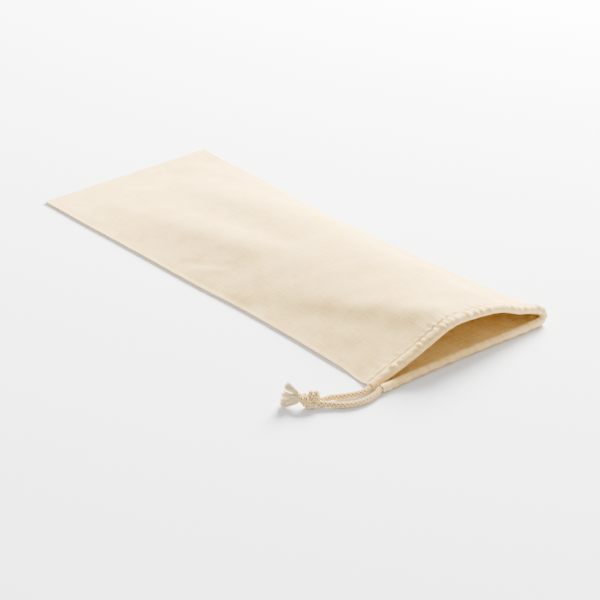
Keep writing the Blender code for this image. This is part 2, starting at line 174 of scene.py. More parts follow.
# Middle of the cord's free ends beyond the near corner, in millimetres, up to the knot's surface
UPPER_ROUTE = ((285.4, -132, 6.3), (284.6, -141, 5.3), (282.2, -150, 4.3), (278.7, -158.5, 3.6),
               (275.0, -165.5, 3.6), (272.4, -171.5, 4.2), (270.0, -183.6, 4.4))
LOWER_ROUTE = ((296.3, -131, 4.4), (297.9, -140, 3.8), (297.9, -150, 3.4), (296.0, -159, 3.3),
               (292.2, -167.5, 3.3), (286.6, -174.4, 3.3), (281.6, -180.0, 3.8), (273.2, -189.7, 5.0))


@dataclass(frozen=True)
class MouthSettle:
    """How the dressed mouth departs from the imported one, by a few millimetres.

    The edge is lifted on its near half and lower on its far half, and the top casing's near
    corner is drawn out and down by the cord.
    """

    starts: float = 470.0 * MM
    full: float = 590.0 * MM
    lift: float = 6.5 * MM
    lift_y: float = -27.0 * MM
    lift_width: float = 33.0 * MM
    drop: float = 4.0 * MM
    drop_y: float = 76.0 * MM
    drop_width: float = 20.0 * MM
    corner: tuple = (0.0, -4.0 * MM, -2.5 * MM)
    corner_starts: float = 540.0 * MM
    corner_share: float = 0.13
    corner_fade: float = 32.0 * MM

    def height(self, size: float, y: np.ndarray) -> np.ndarray:
        """Height added to the top panel at a distance from the fold."""
        share = smooth_step((size - self.starts) / (self.full - self.starts))
        lifted = self.lift * bell(y - self.lift_y, self.lift_width)
        return share * (lifted - self.drop * bell(y - self.drop_y, self.drop_width))

    def pull(self, size: np.ndarray, across: np.ndarray) -> np.ndarray:
        """Offsets of the top panel's near corner at distances from the fold and shares across."""
        along = smooth_step((size - self.corner_starts) / (self.full - self.corner_starts))
        weight = along * (1 - smooth_step(across / self.corner_share))
        return weight[..., None] * np.array(self.corner)


SETTLE = MouthSettle()


def eased(x: float, xs: list[float], ys: list[float]) -> float:
    """Read a smooth curve through points, held level beyond its ends.

    Args:
        x: where to read it.
        xs: the points' places, rising.
        ys: the points' values.

    Returns:
        The curve's value at x.
    """
    if x <= xs[0]:
        return ys[0]
    if x >= xs[-1]:
        return ys[-1]
    n = max(i for i in range(len(xs) - 1) if xs[i] <= x)
    slopes = [(ys[i + 1] - ys[i]) / (xs[i + 1] - xs[i]) for i in range(len(xs) - 1)]

    def tangent(i: int) -> float:
        """Slope of the curve at one of its points."""
        if i in (0, len(xs) - 1):
            return slopes[min(i, len(slopes) - 1)]
        return (slopes[i - 1] + slopes[i]) / 2

    span = xs[n + 1] - xs[n]
    u = (x - xs[n]) / span
    return ((2 * u**3 - 3 * u**2 + 1) * ys[n] + (u**3 - 2 * u**2 + u) * span * tangent(n)
            + (3 * u**2 - 2 * u**3) * ys[n + 1] + (u**3 - u**2) * span * tangent(n + 1))


def smooth_step(x: np.ndarray | float) -> np.ndarray | float:
    """Ease from 0 to 1 as x goes from 0 to 1."""
    u = np.clip(x, 0.0, 1.0)
    return u * u * (3 - 2 * u)


def bell(x: np.ndarray, width: float) -> np.ndarray:
    """A smooth bump of height 1 at 0."""
    return np.exp(-((x / width) ** 2))


class BagShape:
    """The lying bag's form: lines across each panel, read at any distance from the fold."""

    path_samples: int = 240
    turn_steps: int = 24
    normal_reach: float = 1.5 * MM

    def __init__(self) -> None:
        """Start with no lines worked out."""
        self.lines: dict[tuple[Panel, float], np.ndarray] = {}

    @staticmethod
    def section(size: float) -> Section:
        """The section at a distance from the fold, its lengths in metres and turn in radians."""
        xs = [row.size for row in SECTIONS]
        read = {key: eased(size / MM, xs, [getattr(row, key) for row in SECTIONS])
                for key in Section._fields}
        lengths = {key: value * MM for key, value in read.items() if key != "turn"}
        return Section(turn=math.radians(read["turn"]), **lengths)

    def turned_end(self, radius: float, turn: float, rise: float) -> np.ndarray:
        """Points (out, up) of a panel that turns up at its side, from the floor to its end."""
        angles = np.linspace(0.0, turn, self.turn_steps + 1)
        points = np.column_stack((radius * np.sin(angles), radius * (1 - np.cos(angles))))
        last = points[-1] + rise * np.array([math.cos(turn), math.sin(turn)])
        return np.vstack((points, last))

    def lower_line(self, row: Section) -> np.ndarray:
        """Outer line (Y, Z) of the bottom panel from the near to the far seam."""
        near = self.turned_end(BAG.seam_turn, BAG.seam_angle, BAG.seam_rise)
        far = self.turned_end(row.curl, row.turn, row.rise)
        near_base = row.near + near[:, 0].max()
        far_base = row.far - far[:, 0].max()
        near_points = np.column_stack((near_base - near[::-1, 0], near[::-1, 1]))
        far_points = np.column_stack((far_base + far[:, 0], far[:, 1]))
        return np.vstack((near_points, far_points))

    def upper_line(self, row: Section, lower: np.ndarray) -> np.ndarray:
        """Outer line of the top panel, which starts and ends a seam's thickness past the lower."""
        start = self.beyond(lower[::-1]) + np.array([0.0, row.lift])
        end = self.beyond(lower)
        y = np.linspace(start[0], end[0], self.path_samples)
        near = y < row.crest
        foot_y = np.where(near, start[0], end[0])
        foot_z = np.where(near, start[1], end[1])
        ease = np.where(near, BAG.near_ease, BAG.far_ease)
        arch = np.clip(np.cos(np.pi / 2 * np.abs((y - row.crest) / (foot_y - row.crest))), 0, 1)
        trough = row.dip * bell(y - BAG.dip_y, BAG.dip_width)
        height = foot_z + (row.crown - foot_z) * arch**ease - trough
        return np.column_stack((y, height + SETTLE.height(row.size, y)))

    @staticmethod
    def beyond(line: np.ndarray) -> np.ndarray:
        """The point a seam's thickness past the end of a line."""
        along = line[-1] - line[-2]
        return line[-1] + along / np.linalg.norm(along) * BAG.seam_thickness

    def line(self, panel: Panel, size: float) -> np.ndarray:
        """Outer line of a panel across the bag at a distance from the fold."""
        key = (panel, size)
        if key not in self.lines:
            row = self.section(size)
            lower = self.lower_line(row)
            self.lines[key] = lower if panel is Panel.LOWER else self.upper_line(row, lower)
        return self.lines[key]

    def casing_line(self, panel: Panel) -> np.ndarray:
        """Outer line of a panel at its casing, which runs on past the near seam, lying level."""
        line = self.line(panel, CASING_SIZE)
        if panel is Panel.UPPER:
            return np.vstack((line[0] - [CORD.upper_overhang, 0.0], line))
        first = [line[:, 0].min() - CORD.lower_overhang, 0.0]
        return np.vstack((first, line[(line[:, 1] < 1e-6 * MM) | (line[:, 0] > 0)]))

    def read(self, line: np.ndarray, shares: np.ndarray) -> tuple[np.ndarray, np.ndarray]:
        """Points of a line at shares of its length, and the unit normals to its left.

        Args:
            line: points (Y, Z).
            shares: where to read the line, from 0 to 1.

        Returns:
            The points and the normals, one row for each share.
        """
        lengths = np.concatenate(([0.0], np.cumsum(np.linalg.norm(np.diff(line, axis=0), axis=1))))

        def at(distance: np.ndarray) -> np.ndarray:
            """Points at distances along the line."""
            clipped = np.clip(distance, 0.0, lengths[-1])
            return np.column_stack([np.interp(clipped, lengths, line[:, k]) for k in (0, 1)])

        place = shares * lengths[-1]
        along = at(place + self.normal_reach) - at(place - self.normal_reach)
        along /= np.linalg.norm(along, axis=1)[:, None]
        return at(place), np.column_stack((-along[:, 1], along[:, 0]))

    @staticmethod
    def neck_reach(panel: Panel, shares: np.ndarray) -> np.ndarray:
        """Distance from the fold to the stitch line at shares of the width."""
        xs = [p.share for p in HEMS]
        ys = [getattr(p, panel.value) for p in HEMS]
        return np.array([eased(float(s), xs, ys) for s in shares]) * MM - CORD.casing_flat

    def cord_centre(self, panel: Panel, shares: np.ndarray) -> np.ndarray:
        """Centre of the cord's channel at shares of the width, in the model's frame."""
        kept = np.minimum(shares, 1 - CORD.slit_retreat / BAG.width)
        points, left = self.read(self.casing_line(panel), kept)
        proud = CORD.proud * np.minimum((1 - shares) / CORD.proud_fade, 1.0)
        drop = proud - CORD.roll if panel is Panel.UPPER else np.full(len(shares), CORD.roll)
        points = points + left * drop[:, None]
        along = self.neck_reach(panel, shares) + CORD.casing_flat - CORD.roll
        centre = np.column_stack((BAG.fold_x + along, points[:, 0] + BAG.side_y, points[:, 1]))
        return centre + SETTLE.pull(along, shares) if panel is Panel.UPPER else centre


class NodeGraph:
    """Builds one node tree, a material's or a Geometry Nodes group's."""

    def __init__(self, tree: bpy.types.NodeTree) -> None:
        """Work on a node tree."""
        self.tree = tree

    def feed(self, node: bpy.types.Node, key: str | int, value: object) -> None:
        """Link a socket or set a value on one of a node's inputs."""
        socket = node.inputs[key]
        if isinstance(value, bpy.types.NodeSocket):
            self.tree.links.new(value, socket)
        elif isinstance(value, bpy.types.Node):
            self.tree.links.new(value.outputs[0], socket)
        else:
            socket.default_value = value

    def node(self, kind: str, values: dict | None = None, **settings: object) -> bpy.types.Node:
        """Add a node.

        Args:
            kind: the node's type name.
            values: input name or number to a value, node or socket.
            settings: the node's own properties.

        Returns:
            The new node.
        """
        made = self.tree.nodes.new(kind)
        for key, value in settings.items():
            setattr(made, key, value)
        for key, value in (values or {}).items():
            self.feed(made, key, value)
        return made

    def math(self, operation: str, *values: object) -> bpy.types.NodeSocket:
        """A Math node's result."""
        return self.node("ShaderNodeMath", dict(enumerate(values)), operation=operation).outputs[0]

    def plus(self, first: object, second: object) -> bpy.types.NodeSocket:
        """The sum of two numbers."""
        return self.math("ADD", first, second)

    def times(self, first: object, second: object) -> bpy.types.NodeSocket:
        """The product of two numbers."""
        return self.math("MULTIPLY", first, second)

    def vector(self, operation: str, *values: object) -> bpy.types.NodeSocket:
        """A Vector Math node's vector result."""
        made = self.node("ShaderNodeVectorMath", operation=operation)
        for key, value in enumerate(values):
            self.feed(made, "Scale" if operation == "SCALE" and key == 1 else key, value)
        return made.outputs[0]

    def blend(self, factor: object, first: object, second: object) -> bpy.types.NodeSocket:
        """Mix two colours."""
        made = self.node("ShaderNodeMix", data_type="RGBA")
        self.feed(made, 0, factor)
        self.feed(made, 6, first)
        self.feed(made, 7, second)
        return made.outputs[2]

    def ramp(self, value: object, low: float, high: float) -> bpy.types.NodeSocket:
        """Value mapped smoothly from 0 at low to 1 at high."""
        made = self.node("ShaderNodeMapRange", interpolation_type="SMOOTHSTEP")
        for key, item in (("Value", value), ("From Min", low), ("From Max", high)):
            self.feed(made, key, item)
        return made.outputs[0]

    def noise(self, vector: object, scale: float, detail: float = 2.0) -> bpy.types.NodeSocket:
        """A noise texture's value."""
        made = self.node("ShaderNodeTexNoise", {"Vector": vector, "Scale": scale, "Detail": detail})
        return made.outputs["Fac"] if "Fac" in made.outputs else made.outputs[0]


def new_material(name: str, roughness: float) -> tuple[bpy.types.Material, NodeGraph, bpy.types.Node]:
    """Make a material whose Principled shader is ready to be fed.

    Args:
        name: the material's name.
        roughness: its roughness.

    Returns:
        The material, its graph and its Principled shader.
    """
    material = bpy.data.materials.new(name)
    material.use_nodes = True
    shader = material.node_tree.nodes["Principled BSDF"]
    shader.inputs["Roughness"].default_value = roughness
    shader.inputs["Specular IOR Level"].default_value = 0.25
    return material, NodeGraph(material.node_tree), shader


@dataclass(frozen=True)
class ClothFinish:
    """Undyed plain-weave cotton with uneven threads and a few brown specks.

    Each share says how strongly a pattern tells in the colour. The colour also carries a painted
    highlight along the side edges and painted shade in the creases.
    """

    light: tuple = (0.93, 0.695, 0.285, 1.0)
    dark: tuple = (0.71, 0.44, 0.115, 1.0)
    # Painted highlight: a pale band along the cloth's side edges
    edge: tuple = (0.97, 0.90, 0.70, 1.0)
    speck: tuple = (0.36, 0.20, 0.08, 1.0)
    edge_width: float = 1.3 * MM
    thread: float = 0.62 * MM
    slub_width: float = 1.5 * MM
    slub_length: float = 24.0 * MM
    mottle: float = 42.0 * MM
    fleck: float = 2.4 * MM
    speck_cell: float = 17.0 * MM
    roughness: float = 0.95
    uv_map: str = "cloth"
    # Painted shade: dark golden brown laid into stitch grooves, gather valleys and the side seams'
    # grooves
    crease_shade: tuple = (0.50, 0.28, 0.09, 1.0)
    crease_shade_attribute: str = "crease_shade"
    slub_share: float = 0.58
    mottle_share: float = 0.46
    fleck_share: float = 0.34
    weave_share: float = 0.16
    tone_low: float = 0.74
    tone_high: float = 1.30
    edge_highlight_share: float = 0.45
    crease_shade_share: float = 0.6
    speck_share: float = 0.75
    speck_chance: float = 0.72
    speck_size: float = 0.17
    speck_rim: tuple = (-0.006, 0.012)
    wobble_threads: float = 9.0
    weave_power: float = 0.6
    relief: float = 0.22 * MM
    sheen: float = 0.2

    def build(self) -> bpy.types.Material:
        """Make the material."""
        material, graph, shader = new_material("cotton_calico", self.roughness)
        place = graph.node("ShaderNodeUVMap", uv_map=self.uv_map).outputs[0]
        wobble = graph.noise(place, 1 / (self.wobble_threads * self.thread))
        swing = graph.times(graph.math("SUBTRACT", wobble, 0.5), self.thread)
        parts = graph.node("ShaderNodeSeparateXYZ", {0: place}).outputs
        ridges = []
        for axis in (0, 1):
            moved = graph.plus(parts[axis], swing)
            wave = graph.math("SINE", graph.times(moved, math.pi / self.thread))
            ridges.append(graph.math("ABSOLUTE", wave))
        weave = graph.math("POWER", graph.times(*ridges), self.weave_power)
        slubs = graph.plus(self.slub(graph, place, 0), self.slub(graph, place, 1))
        mottle = graph.noise(place, 1 / self.mottle, 3.0)
        fine = graph.noise(place, 1 / self.fleck, 2.0)
        tone = graph.times(slubs, self.slub_share)
        for pattern, share in ((mottle, self.mottle_share), (fine, self.fleck_share),
                               (weave, self.weave_share)):
            tone = graph.plus(tone, graph.times(pattern, share))
        light = graph.ramp(tone, self.tone_low, self.tone_high)
        # Painted highlight along the side edges, out to half the bag's width across
        across = graph.math("ABSOLUTE", parts[1])
        rim = graph.ramp(across, BAG.width / 2 - self.edge_width, BAG.width / 2)
        # How deep each point lies in a crease, which sets the painted shade
        crease_shade = graph.node("ShaderNodeAttribute", attribute_name=self.crease_shade_attribute)
        colour = graph.blend(light, self.dark, self.light)
        for mask, over in ((graph.times(rim, self.edge_highlight_share), self.edge),
                           (graph.times(crease_shade.outputs["Fac"], self.crease_shade_share), self.crease_shade),
                           (self.specks(graph, place), self.speck)):
            colour = graph.blend(mask, colour, over)
        graph.feed(shader, "Base Color", colour)
        height = graph.plus(graph.times(weave, 0.5), slubs)
        bump = graph.node("ShaderNodeBump", {"Height": height, "Distance": self.relief})
        graph.feed(shader, "Normal", bump)
        graph.feed(shader, "Sheen Weight", self.sheen)
        return material

    def slub(self, graph: NodeGraph, place: object, axis: int) -> bpy.types.NodeSocket:
        """Streaks of thicker thread along one axis of the cloth."""
        stretch = [1 / self.slub_width, 1 / self.slub_width, 1.0]
        stretch[axis] = 1 / self.slub_length
        scaled = graph.vector("MULTIPLY", place, stretch)
        return graph.noise(graph.vector("ADD", scaled, (7.3 * axis, 3.1, 0.0)), 1.0, 2.0)

    def specks(self, graph: NodeGraph, place: object) -> bpy.types.NodeSocket:
        """Mask of the few brown specks that undyed cotton has."""
        cells = graph.node("ShaderNodeTexVoronoi", {"Vector": place, "Scale": 1 / self.speck_cell})
        chance = graph.node("ShaderNodeSeparateColor", {0: cells.outputs["Color"]}).outputs[0]
        spare = graph.math("SUBTRACT", chance, self.speck_chance)
        radius = graph.times(spare, self.speck_size)
        inside = graph.math("SUBTRACT", radius, cells.outputs["Distance"])
        return graph.times(graph.ramp(inside, *self.speck_rim), self.speck_share)


@dataclass(frozen=True)
class CordFinish:
    """Braided or frayed cotton yarn, cream outside, with painted shade making it golden brown in its
    hollows.
    """

    name: str = "cotton_braid"
    light: tuple = (0.88, 0.66, 0.30, 1.0)
    # Painted shade: the colour in the braid's hollows
    hollow_shade: tuple = (0.26, 0.12, 0.025, 1.0)
    ply: float = 0.75 * MM
    roughness: float = 0.92
    depth_attribute: str = "depth"
    low: float = 0.10
    high: float = 0.85
    fibre_share: float = 0.45
    relief: float = 0.3 * MM
    sheen: float = 0.2

    def build(self) -> bpy.types.Material:
        """Make the material."""
        material, graph, shader = new_material(self.name, self.roughness)
        depth = graph.node("ShaderNodeAttribute", attribute_name=self.depth_attribute)
        place = graph.node("ShaderNodeTexCoord").outputs["Object"]
        fibres = graph.noise(place, 1 / self.ply, 3.0)
        uneven = graph.times(graph.math("SUBTRACT", fibres, 0.5), self.fibre_share)
        tone = graph.plus(depth.outputs["Fac"], uneven)
        # Painted shade: darker towards the hollows, plus random fibre tone
        colour = graph.blend(graph.ramp(tone, self.low, self.high), self.hollow_shade, self.light)
        graph.feed(shader, "Base Color", colour)
        bump = graph.node("ShaderNodeBump", {"Height": fibres, "Distance": self.relief})
        graph.feed(shader, "Normal", bump)
        graph.feed(shader, "Sheen Weight", self.sheen)
        return material


# Loose yarn: painted shade deep inside each lock, lighter outside
LOOSE_YARN = CordFinish(name="loose_yarn", light=(0.99, 0.84, 0.52, 1.0),
                        hollow_shade=(0.80, 0.52, 0.19, 1.0), low=-0.1, high=0.60)
THREAD = CordFinish(name="thread", light=(0.94, 0.84, 0.60, 1.0), low=-1.0, high=0.0)


@dataclass(frozen=True)
class FloorFinish:
    """Matt white studio paper."""

    colour: tuple = (0.80, 0.85, 0.98, 1.0)

    def build(self) -> bpy.types.Material:
        """Make the material."""
        material, graph, shader = new_material("studio_paper", 1.0)
        graph.feed(shader, "Base Color", self.colour)
        graph.feed(shader, "Specular IOR Level", 0.0)
        return material


class GeometryTree(NodeGraph):
    """A Geometry Nodes group with named inputs for its sizes."""

    def __init__(self, name: str, sizes: dict[str, float | int]) -> None:
        """Start the group.

        Args:
            name: the group's name.
            sizes: named inputs and their values; whole numbers become integer inputs.
        """
        super().__init__(bpy.data.node_groups.new(name, "GeometryNodeTree"))
        self.sizes = sizes
        face = self.tree.interface
        face.new_socket("Geometry", in_out="INPUT", socket_type="NodeSocketGeometry")
        for key, value in sizes.items():
            kind = "NodeSocketInt" if isinstance(value, int) else "NodeSocketFloat"
            face.new_socket(key, in_out="INPUT", socket_type=kind)
        face.new_socket("Geometry", in_out="OUTPUT", socket_type="NodeSocketGeometry")
        self.inputs = self.node("NodeGroupInput").outputs

    def resampled(self) -> bpy.types.Node:
        """The given curve with a point at every step."""
        return self.node("GeometryNodeResampleCurve", {
            "Curve": self.inputs["Geometry"], "Length": self.inputs["Step"]}, mode="LENGTH")

    def keep(self, geometry: object, name: str, value: object, kind: str = "FLOAT",
             domain: str = "POINT") -> bpy.types.Node:
        """Store a value on the points or the splines under a name."""
        return self.node("GeometryNodeStoreNamedAttribute", {
            "Geometry": geometry, "Name": name, "Value": value}, data_type=kind, domain=domain)

    def kept(self, name: str, kind: str = "FLOAT") -> bpy.types.NodeSocket:
        """Read the value that was stored under a name."""
        return self.node("GeometryNodeInputNamedAttribute", {"Name": name},
                         data_type=kind).outputs["Attribute"]

    def radial(self, angle: object) -> bpy.types.NodeSocket:
        """Unit vector away from the curve at an angle round it."""
        normal = self.node("GeometryNodeInputNormal")
        side = self.vector("CROSS_PRODUCT", self.node("GeometryNodeInputTangent"), normal)
        return self.vector("ADD", self.vector("SCALE", normal, self.math("COSINE", angle)),
                           self.vector("SCALE", side, self.math("SINE", angle)))

    def swept(self, curve: object, profile: object) -> bpy.types.Node:
        """Sweep a closed profile along a curve, with closed ends."""
        return self.node("GeometryNodeCurveToMesh", {
            "Curve": curve, "Profile Curve": profile, "Fill Caps": True})

    def close(self, geometry: object, material: bpy.types.Material) -> None:
        """Realize the instances, set the material and end the tree."""
        realized = self.node("GeometryNodeRealizeInstances", {0: geometry})
        smooth = self.node("GeometryNodeSetShadeSmooth", {0: realized})
        painted = self.node("GeometryNodeSetMaterial", {"Geometry": smooth, "Material": material})
        self.node("NodeGroupOutput", {0: painted})

    def apply(self, name: str, source: bpy.types.Object) -> bpy.types.Object:
        """Run the group on an object and keep the result as a plain mesh.

        Args:
            name: name of the finished piece.
            source: the curve that the group works on, which is removed.

        Returns:
            The finished piece.
        """
        modifier = source.modifiers.new("build", "NODES")
        modifier.node_group = self.tree
        for item in self.tree.interface.items_tree:
            if item.in_out == "INPUT" and item.name in self.sizes:
                modifier[item.identifier] = self.sizes[item.name]
        evaluated = source.evaluated_get(bpy.context.evaluated_depsgraph_get())
        mesh = bpy.data.meshes.new_from_object(evaluated)
        bpy.data.objects.remove(source, do_unlink=True)
        mesh.name = name
        piece = bpy.data.objects.new(name, mesh)
        bpy.context.collection.objects.link(piece)
        return piece


def curve_object(name: str, splines: list[np.ndarray]) -> bpy.types.Object:
    """A curve object with one open polyline for each list of points."""
    curve = bpy.data.curves.new(name, "CURVE")
    curve.dimensions = "3D"
    for points in splines:
        spline = curve.splines.new("POLY")
        spline.points.add(len(points) - 1)
        for target, point in zip(spline.points, points):
            target.co = (*point, 1.0)
    item = bpy.data.objects.new(name, curve)
    bpy.context.collection.objects.link(item)
    return item


def finished(piece: bpy.types.Object, slot: str, *nodes: str) -> bpy.types.Object:
    """Ride a piece on the object and hide the imported nodes that it replaces."""
    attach(piece, "root")
    if nodes:
        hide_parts(*nodes)
    log.info("%s: %d faces", piece.name, len(piece.data.polygons))
    return piece


@dataclass(frozen=True)
class Fold:
    """One soft ridge or hollow in the top panel, from one point to another.

    Points are (distance from the fold, Y), and height is negative for a hollow. Millimetres.
    """

    start: tuple[float, float]
    end: tuple[float, float]
    width: float
    height: float

    def lift(self, size: np.ndarray, y: np.ndarray) -> np.ndarray:
        """Displacement in metres at places on the panel."""
        begin, stop = (np.array(p) * MM for p in (self.start, self.end))
        along = stop - begin
        share = ((size - begin[0]) * along[0] + (y - begin[1]) * along[1]) / (along @ along)
        held = np.clip(share, 0.0, 1.0)
        off = np.hypot(size - begin[0] - held * along[0], y - begin[1] - held * along[1])
        return self.height * MM * bell(off, self.width * MM)


FOLDS = (
    Fold((60, -78), (300, -52), 16, 1.3),
    Fold((120, -32), (330, -14), 13, -1.1),
    Fold((230, 62), (440, 48), 22, 1.0),
    Fold((262, -104), (306, -84), 6, -0.5),
    Fold((274, -108), (316, -90), 6, 0.4),
    Fold((430, -96), (560, -58), 15, -1.2),
    Fold((470, -64), (572, -22), 13, 0.9),
    Fold((30, 30), (110, 74), 14, -0.8),
    Fold((24, 70), (150, 96), 10, 0.6),
    Fold((380, 78), (540, 90), 10, -0.7),
)


class Wave(NamedTuple):
    """One of the random waves that make cloth uneven. Millimetres."""

    length: float
    height: float


CLOTH_WAVES = (Wave(90, 0.40), Wave(70, 0.35), Wave(52, 0.22), Wave(38, 0.16), Wave(29, 0.11),
               Wave(21, 0.07))
GATHER_SEEDS = {Panel.UPPER: 11, Panel.LOWER: 29}
WRINKLE_SEEDS = {Panel.UPPER: 17, Panel.LOWER: 31}
CASING_WAVES = (Wave(16, 0.22), Wave(12, 0.20), Wave(9, 0.17), Wave(7, 0.13), Wave(5.5, 0.09))


def waviness(first: np.ndarray, second: np.ndarray, waves: tuple[Wave, ...], seed: int,
             leans: tuple[float, float]) -> np.ndarray:
    """Sum of random waves over a surface.

    Args:
        first: the places' distances along one axis.
        second: their distances along the other axis.
        waves: the waves' lengths and heights.
        seed: seed of the waves' directions and starts.
        leans: range of angles from the first axis that the waves run at.

    Returns:
        Displacement in metres at the places.
    """
    rng = np.random.default_rng(seed)
    total = np.zeros(np.broadcast(first, second).shape)
    for wave in waves:
        lean, start = rng.uniform(*leans), rng.uniform(0, 2 * np.pi)
        place = first * math.cos(lean) + second * math.sin(lean)
        total = total + wave.height * MM * np.sin(2 * np.pi * place / (wave.length * MM) + start)
    return total


class Surface(NamedTuple):
    """Rows of points on the cloth, for one face of one panel or casing.

    Along is each row's distance from the outer fold, measured on the cloth, and crease runs from
    0 on open cloth to 1 in the deepest crease, and sets how much painted shade the cloth gets there.
    """

    points: np.ndarray
    along: np.ndarray
    crease_shade: np.ndarray


@dataclass
class ClothBag:
    """The bag's cloth: both panels, fold, side seams and casings, as one closed shell."""

    shape: BagShape
    finish: ClothFinish
    stations: int = 125
    columns: int = 160
    station_bias: float = 0.69
    column_bias: float = 0.25
    wall: float = 1.0 * MM
    side_wall: float = 1.6 * MM
    nose: float = 1.6 * MM
    nose_points: int = 5
    groove: float = 0.45 * MM
    outer_steps: int = 9
    tip_steps: int = 11
    inner_steps: int = 7
    roll_tip: float = 4.5 * MM
    roll_side: float = 4.4 * MM
    upper_top: float = 0.9 * MM
    channel_skip: int = 8
    pucker_pitch: float = 9.5 * MM
    pucker_height: float = 1.05 * MM
    stitch_groove: float = 0.75 * MM
    stitch_width: float = 0.95 * MM
    stitch_ridge: float = 0.6 * MM
    ridge_off: float = 2.3 * MM
    ridge_width: float = 1.2 * MM
    casing_fade: float = 9.0 * MM
    panel_fade: float = 6.0 * MM
    panel_share: float = 0.55
    bound_share: float = 0.55
    wrinkle_fade: float = 7.0 * MM
    wrinkle_lean: float = 0.8
    back_share: float = 0.4
    casing_ease: float = 4.0 * MM
    edge_ease: float = 16.0 * MM
    fold_ease: float = 45.0 * MM
    inset_ends: float = 0.96
    inset_rate: float = 40.0
    inner_share: float = 0.3
    seam_ridge: float = 0.15 * MM
    seam_ridge_off: float = 1.0 * MM
    seam_dip: float = 0.10 * MM
    seam_dip_off: float = 5.0 * MM
    seam_dip_width: float = 2.2 * MM
    ripple_height: float = 0.25 * MM
    ripple_length: float = 2.3 * MM
    ripple_drift: float = 1.7
    ripple_drift_length: float = 19.0 * MM
    ripple_swell: float = 0.4
    ripple_swell_length: float = 47.0 * MM
    ripple_off: float = 3.5 * MM
    ripple_width: float = 4.0 * MM
    groove_edges: tuple = (0.42, 0.58)
    groove_crease_shade: float = 0.6
    cloth_seed: int = 5
    sharp_angle: float = 60.0
    fall_power: float = 1.3
    pucker_drift: float = 0.55
    pucker_drift_length: float = 17.0 * MM
    pucker_shake: float = 0.3
    pucker_shake_length: float = 7.0 * MM
    pucker_middle: float = 0.55
    pucker_swell: float = 0.3
    pucker_swell_length: float = 31.0 * MM
    pucker_ripple: float = 0.25
    pucker_ripple_length: float = 12.0 * MM
    flat_cut: tuple[float, float] = (0.27, 1.27)
    crease_shade_depth: float = 0.75 * MM
    verts: list = field(default_factory=list)
    places: list = field(default_factory=list)
    crease_shades: list = field(default_factory=list)
    faces: list = field(default_factory=list)
    seam_lines: dict = field(default_factory=dict)

    def __post_init__(self) -> None:
        """Work out the shares along and across the bag."""
        t = np.linspace(0.0, 1.0, self.stations + 1)
        self.along = t + self.station_bias * t * (1 - t)
        w = np.linspace(0.0, 1.0, self.columns + 1)
        self.across = w - self.column_bias * np.sin(2 * np.pi * w) / (2 * np.pi)

    def panel(self, panel: Panel) -> tuple[np.ndarray, np.ndarray]:
        """Outer points and outward normals of a panel, one row for each station."""
        neck = self.shape.neck_reach(panel, self.across)
        sign = 1.0 if panel is Panel.UPPER else -1.0
        rows, normals = [], []
        for fraction in self.along:
            line = self.shape.line(panel, BAG.neck * float(fraction))
            points, left = self.shape.read(line, self.across)
            x = BAG.fold_x + neck * fraction
            rows.append(np.column_stack((x, points[:, 0] + BAG.side_y, points[:, 1])))
            normals.append(np.column_stack((np.zeros(len(x)), sign * left)))
        return np.array(rows), np.array(normals)

    def profile(self, panel: Panel) -> np.ndarray:
        """Outline (along, outward) of a casing from the stitch line's outer to its inner side."""
        centre = CORD.casing_flat - CORD.roll
        middle = CORD.proud - CORD.roll if panel is Panel.UPPER else -CORD.roll
        top = self.upper_top if panel is Panel.UPPER else 0.0
        bottom = middle - self.roll_side
        out = np.linspace(0, 1, self.outer_steps + 1)[1:-1]
        outer = np.column_stack((centre * out, top * np.sin(np.pi / 2 * out)))
        turn = np.linspace(np.pi / 2, -np.pi / 2, self.tip_steps)
        reach = np.where(np.sin(turn) > 0, top - middle, middle - bottom)
        tip = np.column_stack((centre + self.roll_tip * np.cos(turn), middle + reach * np.sin(turn)))
        back = np.linspace(1, 0, self.inner_steps + 1)[1:-1]
        fall = np.sin(np.pi / 2 * back) ** self.fall_power
        inner = np.column_stack((centre * back, -self.wall + (bottom + self.wall) * fall))
        return np.vstack((outer, tip, inner))

    def casing(self, panel: Panel, neck_points: np.ndarray, neck_out: np.ndarray) -> np.ndarray:
        """Points of a casing, one row for each point of its profile.

        Args:
            panel: which panel's casing.
            neck_points: the panel's outer points at its stitch line.
            neck_out: the panel's outward normals there.

        Returns:
            Points by profile step and column.
        """
        kept = np.minimum(self.across, 1 - CORD.slit_retreat / BAG.width)
        points, left = self.shape.read(self.shape.casing_line(panel), kept)
        sign = 1.0 if panel is Panel.UPPER else -1.0
        fade = np.minimum((1 - self.across) / CORD.proud_fade, 1.0)
        sunk = (1 - fade) * CORD.proud if panel is Panel.UPPER else np.zeros(len(fade))
        rows = []
        for along, out in self.profile(panel):
            ease = smooth_step(along / self.casing_ease)
            x = neck_points[:, 0] + along
            y = neck_points[:, 1] + (points[:, 0] + BAG.side_y - neck_points[:, 1]) * ease
            z = neck_points[:, 2] + (points[:, 1] - neck_points[:, 2]) * ease
            normal = neck_out[:, 1:] * (1 - ease) + sign * left * ease
            normal /= np.linalg.norm(normal, axis=1)[:, None]
            lift = out - sunk * ease
            rows.append(np.column_stack((x, y + normal[:, 0] * lift, z + normal[:, 1] * lift)))
        made = np.array(rows)
        if panel is Panel.LOWER:
            return made
        return made + SETTLE.pull(made[:, :, 0] - BAG.fold_x, self.across[None, :])

    def puckers(self, seed: int) -> np.ndarray:
        """Wave of the gathers across the bag, up to 1.1 high and deep."""
        v = self.across * BAG.width
        rng = np.random.default_rng(seed)
        a, b, c = rng.uniform(0, 2 * np.pi, 3)
        phase = v / self.pucker_pitch + self.pucker_drift * np.sin(v / self.pucker_drift_length + a)
        phase = phase + self.pucker_shake * np.sin(v / self.pucker_shake_length + b)
        swell = self.pucker_middle + self.pucker_swell * np.sin(v / self.pucker_swell_length + c)
        swell = swell + self.pucker_ripple * np.sin(v / self.pucker_ripple_length + a)
        return np.cos(2 * np.pi * phase) * swell

